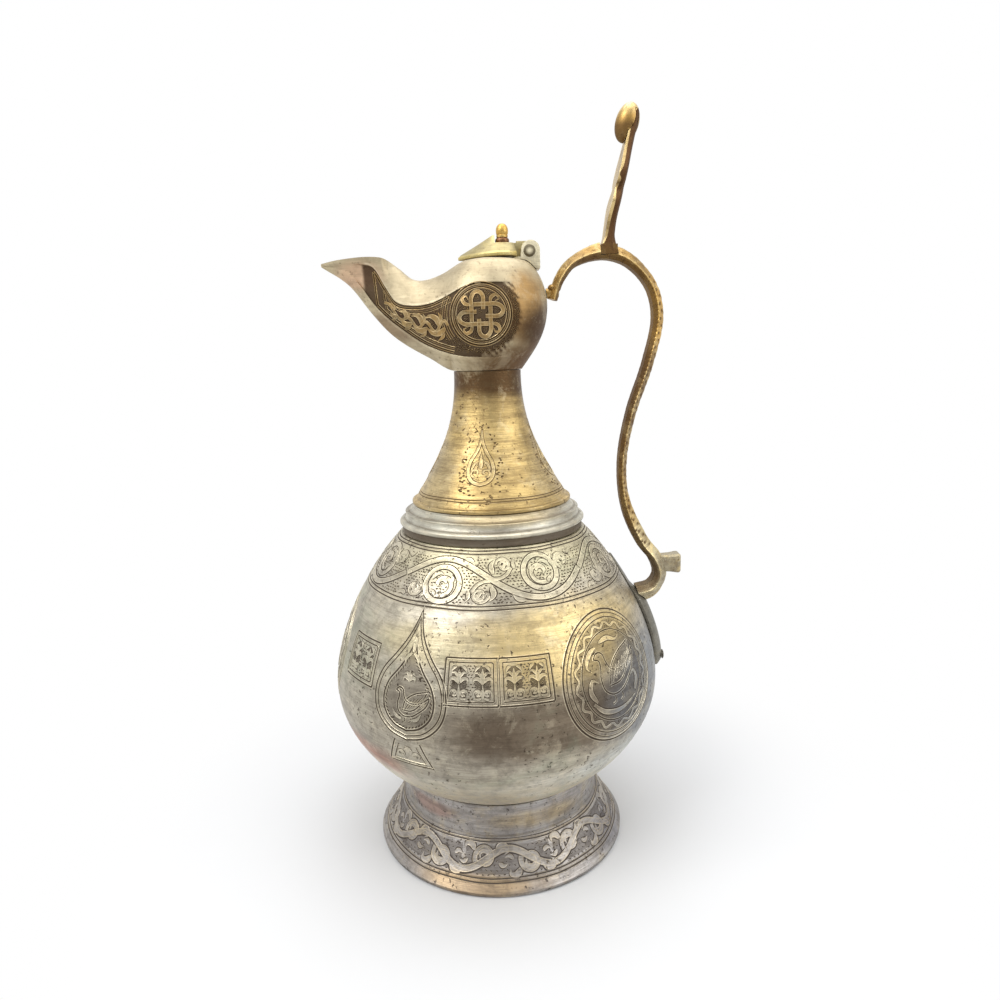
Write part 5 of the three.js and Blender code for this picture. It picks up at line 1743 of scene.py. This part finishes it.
def aged_colour_group():
    """The metal's colour, clouded and worn, dark in its cuts and bright on its edges; through the tone it
    also takes the painted shade and painted highlights that some pieces carry.
    """
    tree, given, out = new_group(
        "aged_colour",
        [("Place", "Vector"), ("Base", "Color"), ("Deep", "Color"), ("Worn", "Color"),
         ("Streak", "Float"), ("Pit", "Float"), ("Tone", "Float"), ("Wear", "Float"),
         ("Brushed", "Float"), ("Mottled", "Float")],
        [("Color", "Color"), ("Roughness", "Float")])
    place = given["Place"]
    cloud = noise(tree, place, 16, 4, 0.6, 0.4)
    dull = ramp(tree, cloud, 0.34, 0.62, 0.26, 0.0)
    colour = blend(tree, dull, given["Base"], given["Deep"])
    mottle = ramp(tree, noise(tree, place, 170, 6, 0.74, 0.3), 0.44, 0.62)
    colour = blend(tree, math_node(tree, "MULTIPLY", mottle, given["Mottled"]), colour, given["Deep"])
    worn = ramp(tree, noise(tree, place, 95, 8, 0.74, 0.5), 0.5, 0.64)
    worn = math_node(tree, "MULTIPLY", worn, given["Wear"])
    colour = blend(tree, worn, colour, given["Worn"])
    streak = ramp(tree, given["Streak"], 0.42, 0.58, 1.0, 0.0)
    streak = math_node(tree, "MULTIPLY", streak, given["Brushed"])
    colour = blend(tree, streak, colour, given["Deep"])
    colour = blend(tree, given["Pit"], colour, given["Deep"])
    dark = math_node(tree, "MULTIPLY", given["Tone"], -0.94, clamp=True)
    bright = math_node(tree, "MULTIPLY", given["Tone"], 0.72, clamp=True)
    patchy = ramp(tree, noise(tree, place, 150, 3, 0.6), 0.3, 0.6, 0.35, 1.0)
    bright = math_node(tree, "MULTIPLY", bright, patchy)
    colour = blend(tree, dark, colour, given["Deep"])
    # A high tone blends towards the worn colour: wear, and painted highlight on some pieces.
    colour = blend(tree, bright, colour, given["Worn"])
    rough = math_node(tree, "MULTIPLY_ADD", cloud, 0.22, 0.3)
    rough = math_node(tree, "MULTIPLY_ADD", dark, 0.3, rough)
    rough = math_node(tree, "MULTIPLY_ADD", given["Pit"], 0.2, rough)
    rough = math_node(tree, "MULTIPLY_ADD", bright, -0.08, rough, clamp=True)
    tree.links.new(colour, out["Color"])
    tree.links.new(rough, out["Roughness"])
    return tree


def zone_group():
    """A soft-edged, broken patch round a place on the object."""
    tree, given, out = new_group(
        "zone", [("Place", "Vector"), ("Centre", "Vector"), ("Size", "Vector")], [("Mask", "Float")])
    away = add(tree, "VectorMath", given["Place"], given["Centre"], operation="SUBTRACT").outputs[0]
    away = add(tree, "VectorMath", away, given["Size"], operation="DIVIDE").outputs[0]
    distance = add(tree, "VectorMath", away, operation="LENGTH").outputs["Value"]
    broken = noise(tree, given["Place"], 60, 5, 0.65)
    distance = math_node(tree, "MULTIPLY_ADD", broken, 0.6, distance)
    tree.links.new(ramp(tree, distance, 0.75, 1.35, 1.0, 0.0), out["Mask"])
    return tree


def patina_group():
    """Pale green and grey films that cling in patches."""
    tree, given, out = new_group(
        "patina",
        [("Place", "Vector"), ("Color", "Color"), ("Film", "Color"), ("Amount", "Float"),
         ("Tone", "Float")],
        [("Color", "Color"), ("Film", "Float")])
    patch = ramp(tree, noise(tree, given["Place"], 24, 6, 0.7, 0.8), 0.52, 0.72)
    film = math_node(tree, "MULTIPLY", patch, given["Amount"])
    film = math_node(tree, "MULTIPLY", film, ramp(tree, given["Tone"], -0.6, 0.0))
    tree.links.new(blend(tree, film, given["Color"], given["Film"]), out["Color"])
    tree.links.new(film, out["Film"])
    return tree


def aged_metal(name, base, deep, worn, metallic=0.8, streaks=0.5, pits=0.4, dents=0.5, wear=0.5, bump=0.35,
               film=(150, 165, 140), film_amount=0.25, marks_scale=(1, 1, 1), zones=(), brushed=0.2,
               mottled=0.3, matte=0.0):
    """A piece's metal. zones are (centre, size, colour, strength) in metres and shown colours; some zones
    paint shade and light, as noted where they are listed.
    """
    material = bpy.data.materials.new(name)
    material.use_nodes = True
    tree = material.node_tree
    shader = tree.nodes["Principled BSDF"]
    place = add(tree, "TexCoord").outputs["Object"]
    tone = add(tree, "Attribute", attribute_name="tone").outputs["Fac"]
    marks = use(tree, tool_marks, Place=stretched(tree, place, marks_scale), Streaks=streaks, Pits=pits,
                Dents=dents)
    colour = metal_colour(*base)
    for centre, size, tint, strength in zones:
        mask = use(tree, zone, Place=place, Centre=centre, Size=size)["Mask"]
        share = math_node(tree, "MULTIPLY", mask, strength)
        colour = blend(tree, share, colour, metal_colour(*tint))
    aged = use(tree, aged_colour, Place=place, Base=colour, Deep=metal_colour(*deep),
               Worn=metal_colour(*worn), Streak=marks["Streak"], Pit=marks["Pit"], Tone=tone, Wear=wear,
               Brushed=brushed, Mottled=mottled)
    filmed = use(tree, patina, Place=place, Color=aged["Color"], Film=metal_colour(*film),
                 Amount=film_amount, Tone=tone)
    tree.links.new(filmed["Color"], shader.inputs["Base Color"])
    rough = math_node(tree, "ADD", aged["Roughness"], matte)
    tree.links.new(math_node(tree, "MULTIPLY_ADD", filmed["Film"], 0.3, rough, clamp=True),
                   shader.inputs["Roughness"])
    shader.inputs["Metallic"].default_value = metallic
    relief = add(tree, "Bump")
    relief.inputs["Strength"].default_value = bump
    relief.inputs["Distance"].default_value = 0.0006
    tree.links.new(marks["Height"], relief.inputs["Height"])
    tree.links.new(relief.outputs["Normal"], shader.inputs["Normal"])
    return material


# Camera, lights and floor

def make_camera():
    """The camera stands at mid-neck height, close, and looks down at the ewer."""
    focal_pixels, frame_pixels, sensor = 737, 1000, 36
    place = Vector((axis_x - 1.32, -341, 232.1)) * mm
    yaw, down, roll = math.radians(0.9), math.radians(11.2), math.radians(1.71)
    lens = bpy.data.cameras.new("camera")
    lens.sensor_width = sensor
    lens.sensor_fit = "HORIZONTAL"
    lens.lens = focal_pixels / frame_pixels * sensor
    lens.clip_start = 0.01
    camera = bpy.data.objects.new("camera", lens)
    bpy.context.scene.collection.objects.link(camera)
    camera.location = place
    aim = Euler((math.pi / 2 - down, 0, -yaw)).to_matrix()
    camera.rotation_euler = (aim @ Euler((0, 0, -roll)).to_matrix()).to_euler()
    bpy.context.scene.camera = camera


def make_lamp(name, place, size, power):
    """A soft box that faces the ewer's middle."""
    target = (0, 0, 0.15)
    light = bpy.data.lights.new(name, "AREA")
    light.shape = "RECTANGLE"
    light.size, light.size_y = size
    light.energy = power
    lamp = bpy.data.objects.new(name, light)
    bpy.context.scene.collection.objects.link(lamp)
    lamp.location = place
    lamp.rotation_euler = (Vector(target) - Vector(place)).to_track_quat("-Z", "Y").to_euler()


def seen_directly(tree):
    """1 for rays from the camera, from a mirror-like surface or through glass."""
    paths = add(tree, "LightPath").outputs
    seen = math_node(tree, "MAXIMUM", paths["Is Camera Ray"], paths["Is Glossy Ray"])
    return math_node(tree, "MAXIMUM", seen, paths["Is Transmission Ray"])


def make_stage():
    """A plain pale floor, white at a distance, that keeps the ewer's soft shadow."""
    deselect()
    bpy.ops.mesh.primitive_plane_add(size=8, location=(0, 0, -0.0004))
    floor = bpy.context.object
    floor.name = "stage_floor"
    material = bpy.data.materials.new("stage_white")
    material.use_nodes = True
    tree = material.node_tree
    tree.nodes.clear()
    output = tree.nodes.new("ShaderNodeOutputMaterial")
    pale = tree.nodes.new("ShaderNodeBsdfDiffuse")
    pale.inputs["Color"].default_value = (0.7, 0.7, 0.7, 1)
    white = tree.nodes.new("ShaderNodeEmission")
    place = add(tree, "TexCoord").outputs["Object"]
    away = add(tree, "VectorMath", place, operation="LENGTH").outputs["Value"]
    share = math_node(tree, "MULTIPLY", seen_directly(tree), ramp(tree, away, 0.075, 0.215))
    seen = tree.nodes.new("ShaderNodeMixShader")
    tree.links.new(share, seen.inputs[0])
    tree.links.new(pale.outputs[0], seen.inputs[1])
    tree.links.new(white.outputs[0], seen.inputs[2])
    tree.links.new(seen.outputs[0], output.inputs["Surface"])
    floor.data.materials.append(material)

    world = bpy.data.worlds.new("studio")
    bpy.context.scene.world = world
    world.use_nodes = True
    tree = world.node_tree
    tree.nodes.clear()
    output = tree.nodes.new("ShaderNodeOutputWorld")
    soft = tree.nodes.new("ShaderNodeBackground")
    soft.inputs["Color"].default_value = (0.92, 0.94, 0.98, 1)
    soft.inputs["Strength"].default_value = 0.6
    white = tree.nodes.new("ShaderNodeBackground")
    white.inputs["Color"].default_value = (1, 1, 1, 1)
    share = seen_directly(tree)
    direction = add(tree, "SeparateXYZ", add(tree, "TexCoord").outputs["Generated"]).outputs
    nearness = ramp(tree, direction["Y"], -0.92, -0.2, 1.0, 0.0)
    level = ramp(tree, math_node(tree, "ABSOLUTE", direction["Z"]), 0.12, 0.62, 1.0, 0.0)
    dim = math_node(tree, "MULTIPLY", nearness, level)
    glossy = tree.nodes["Light Path"].outputs["Is Glossy Ray"]
    dim = math_node(tree, "MULTIPLY", dim, glossy)
    tree.links.new(math_node(tree, "MULTIPLY_ADD", dim, -0.72, 1.0), white.inputs["Strength"])
    seen = tree.nodes.new("ShaderNodeMixShader")
    tree.links.new(share, seen.inputs[0])
    tree.links.new(soft.outputs[0], seen.inputs[1])
    tree.links.new(white.outputs[0], seen.inputs[2])
    tree.links.new(seen.outputs[0], output.inputs["Surface"])


tool_marks = tool_marks_group()
aged_colour = aged_colour_group()
zone = zone_group()
patina = patina_group()

olive_bronze = aged_metal(
    "olive_bronze", (194, 186, 168), (64, 53, 42), (240, 228, 198), wear=0.22, streaks=0.35, pits=0.9,
    brushed=0.32, mottled=0.3,
    zones=[
        ((0.0, -0.03, 0.147), (0.06, 0.05, 0.016), (222, 212, 176), 0.9),
        ((0.026, -0.06, 0.116), (0.055, 0.07, 0.022), (234, 208, 146), 0.9),
        ((-0.035, -0.06, 0.118), (0.03, 0.05, 0.01), (196, 182, 140), 0.6),
        ((0.016, -0.07, 0.086), (0.06, 0.08, 0.018), (126, 112, 94), 0.95),
        ((-0.01, -0.07, 0.084), (0.014, 0.04, 0.012), (92, 78, 64), 0.6),
        ((-0.062, -0.04, 0.058), (0.024, 0.06, 0.016), (196, 122, 94), 0.8),
        ((0.06, -0.045, 0.088), (0.03, 0.06, 0.034), (140, 145, 150), 0.9),
        # Painted light: a near-white patch all round the bowl's lower part, which faces the shaded floor.
        ((0.0, 0.0, 0.044), (0.16, 0.16, 0.024), (250, 247, 236), 1.0),
        ((0.045, -0.045, 0.056), (0.04, 0.05, 0.014), (216, 220, 216), 0.8),
        ((-0.05, 0.05, 0.11), (0.04, 0.05, 0.03), (206, 184, 130), 0.6),
        ((0.02, 0.07, 0.07), (0.05, 0.04, 0.02), (124, 118, 104), 0.6),
    ])
foot_bronze = aged_metal(
    "foot_bronze", (174, 169, 164), (78, 70, 64), (202, 184, 148), wear=0.3, pits=0.9,
    film=(164, 164, 168), film_amount=0.35, brushed=0.4, mottled=0.34,
    zones=[
        ((-0.02, -0.056, 0.004), (0.04, 0.03, 0.005), (196, 160, 104), 0.6),
        ((0.02, -0.055, 0.028), (0.04, 0.03, 0.006), (198, 174, 126), 0.7),
        ((-0.04, -0.04, 0.029), (0.014, 0.03, 0.005), (158, 110, 88), 0.5),
        ((0.046, -0.03, 0.03), (0.006, 0.02, 0.005), (112, 156, 150), 0.7),
        ((0.05, -0.03, 0.01), (0.02, 0.03, 0.012), (120, 122, 134), 0.6),
    ])
collar_bronze = aged_metal(
    "collar_bronze", (208, 205, 190), (84, 68, 50), (238, 226, 196), wear=0.4, film=(196, 208, 192),
    film_amount=0.3, streaks=0.8, brushed=0.35, mottled=0.2,
    zones=[((0.0, -0.03, 0.164), (0.03, 0.04, 0.005), (206, 180, 118), 0.6)])
neck_gold = aged_metal(
    "neck_gold", (214, 186, 124), (92, 72, 46), (240, 224, 184), wear=0.25, streaks=1.3, pits=0.9,
    film=(190, 180, 144), film_amount=0.2, brushed=0.48, mottled=0.28,
    zones=[
        # The first two zones are painted shade: dark over the neck's top under the head, and down the neck's
        # right side.
        ((0.0, 0, 0.2235), (0.06, 0.06, 0.015), (90, 66, 40), 1.0),
        ((0.02, 0.0, 0.207), (0.0125, 0.03, 0.019), (56, 40, 26), 1.0),
        ((-0.03, -0.01, 0.18), (0.012, 0.03, 0.03), (216, 198, 156), 0.6),
        ((0.02, -0.02, 0.184), (0.012, 0.02, 0.02), (222, 200, 150), 0.6),
    ])
head_pale = aged_metal(
    "head_pale", (203, 189, 157), (76, 54, 34), (234, 222, 192), wear=0.22, streaks=0.5, pits=0.4,
    film=(184, 172, 138), film_amount=0.2, brushed=0.16, mottled=0.16, matte=0.14,
    zones=[
        ((0.011, -0.024, 0.25), (0.012, 0.03, 0.02), (190, 148, 84), 0.85),
        # This zone and the next are painted shade: dark low on the bulb's right side, and round the bulb's
        # foot above the neck.
        ((0.021, -0.01, 0.241), (0.021, 0.045, 0.016), (88, 66, 44), 1.0),
        ((0.014, 0.0, 0.227), (0.036, 0.09, 0.013), (112, 86, 58), 1.0),
        ((-0.061, -0.004, 0.267), (0.014, 0.02, 0.008), (214, 180, 150), 0.8),
        # Painted shade: the spout's lower flank and keel darkened.
        ((-0.038, -0.01, 0.246), (0.036, 0.04, 0.009), (164, 142, 114), 0.85),
    ])
panel_gold = aged_metal(
    "panel_gold", (168, 134, 80), (44, 31, 20), (232, 212, 168), wear=0.35, streaks=0.3, film_amount=0.1,
    mottled=0.5)
handle_brass = aged_metal(
    "handle_brass", (182, 146, 80), (92, 66, 38), (240, 216, 156), wear=0.45, streaks=0.25, pits=0.8,
    film=(120, 100, 62), film_amount=0.3, marks_scale=(1, 1, 0.4), brushed=0.2, mottled=0.4,
    zones=[
        ((0.066, 0, 0.2), (0.02, 0.02, 0.045), (108, 80, 44), 0.85),
        ((0.074, 0, 0.252), (0.014, 0.02, 0.026), (226, 180, 90), 0.85),
        ((0.036, 0, 0.262), (0.014, 0.02, 0.016), (166, 146, 108), 0.6),
        ((0.076, 0, 0.13), (0.02, 0.03, 0.02), (172, 166, 144), 0.9),
        ((0.068, 0, 0.146), (0.014, 0.03, 0.014), (196, 184, 146), 0.8),
        ((0.062, 0, 0.118), (0.014, 0.03, 0.009), (200, 194, 164), 0.9),
    ])
thumb_bronze = aged_metal(
    "thumb_bronze", (134, 102, 58), (88, 60, 36), (240, 214, 152), wear=0.15, streaks=0.25, film_amount=0.1)
lid_brass = aged_metal(
    "lid_brass", (192, 178, 130), (92, 78, 50), (226, 204, 124), wear=0.35, streaks=0.3, film_amount=0.2)
bracket_silver = aged_metal(
    "bracket_silver", (240, 230, 198), (84, 74, 54), (246, 238, 212), wear=0.4, streaks=0.2,
    film=(190, 196, 160), film_amount=0.2, matte=0.1)
knob_gold = aged_metal(
    "knob_gold", (216, 176, 92), (120, 84, 40), (248, 226, 150), wear=0.4, streaks=0.1, film_amount=0.05)
knob_copper = aged_metal(
    "knob_copper", (116, 80, 54), (60, 40, 26), (172, 124, 84), wear=0.4, streaks=0.1, film_amount=0.05)
leaf_dark = aged_metal(
    "leaf_dark", (134, 130, 118), (50, 44, 34), (160, 150, 126), wear=0.4, streaks=0.3, film=(136, 148, 140),
    film_amount=0.4)
solder_silver = aged_metal(
    "solder_silver", (170, 168, 150), (90, 84, 66), (226, 224, 208), wear=0.4, streaks=0.1, film_amount=0.1)

bpy.context.scene.view_settings.view_transform = "Standard"
make_camera()
make_stage()
make_lamp("key_lamp", (-0.9, -0.7, 1.2), (0.9, 0.9), 14)
make_lamp("fill_lamp", (1.0, -0.6, 0.7), (0.8, 1.0), 6)
make_lamp("top_lamp", (0.1, 0.1, 1.4), (1.2, 1.2), 11)

# Each row: the piece, the node it stands for, the record's slot, its metal and its body
pieces = [
    (make_foot(), "foot", "vessel_bronze", foot_bronze, "root"),
    (make_body(), "body", "vessel_bronze", olive_bronze, "root"),
    (make_collar(), "shoulder_collar", "vessel_bronze", collar_bronze, "root"),
    (make_neck(), "neck", "neck_brass", neck_gold, "root"),
    (make_head(), "head", "head_bronze", head_pale, "root"),
    (make_handle(), "handle", "handle_brass", handle_brass, "root"),
    (make_top_rivet(), "handle_top_rivet", "handle_brass", solder_silver, "root"),
    (make_escutcheon(), "escutcheon", "dark_bronze", leaf_dark, "root"),
    (make_leaf_rivet(), "escutcheon_rivet", "dark_bronze", leaf_dark, "root"),
    (make_thumb_piece(), "thumb_piece", "handle_brass", thumb_bronze, "root"),
    (make_thumb_knob(), "thumb_knob", "handle_brass", handle_brass, "root"),
    (make_bracket(), "hinge_bracket", "head_bronze", bracket_silver, "root"),
    (make_pin(), "hinge_pin", "dark_bronze", bracket_silver, "root"),
    (make_lid(), "lid", "lid_brass", lid_brass, "lid"),
    (make_washer(), "knob_washer", "knob_copper", knob_copper, "lid"),
    (make_knob(), "lid_knob", "lid_brass", knob_gold, "lid"),
    (make_shoulder_band(), None, "vessel_bronze", olive_bronze, "root"),
    (make_belly_engraving(), None, "vessel_bronze", olive_bronze, "root"),
    (make_foot_engraving(), None, "vessel_bronze", foot_bronze, "root"),
    (make_neck_engraving(), None, "neck_brass", neck_gold, "root"),
    (make_head_engraving(), None, "head_bronze", panel_gold, "root"),
]
for piece, node, slot, metal, body in pieces:
    smooth(piece)
    settle(piece, node, metal, body)
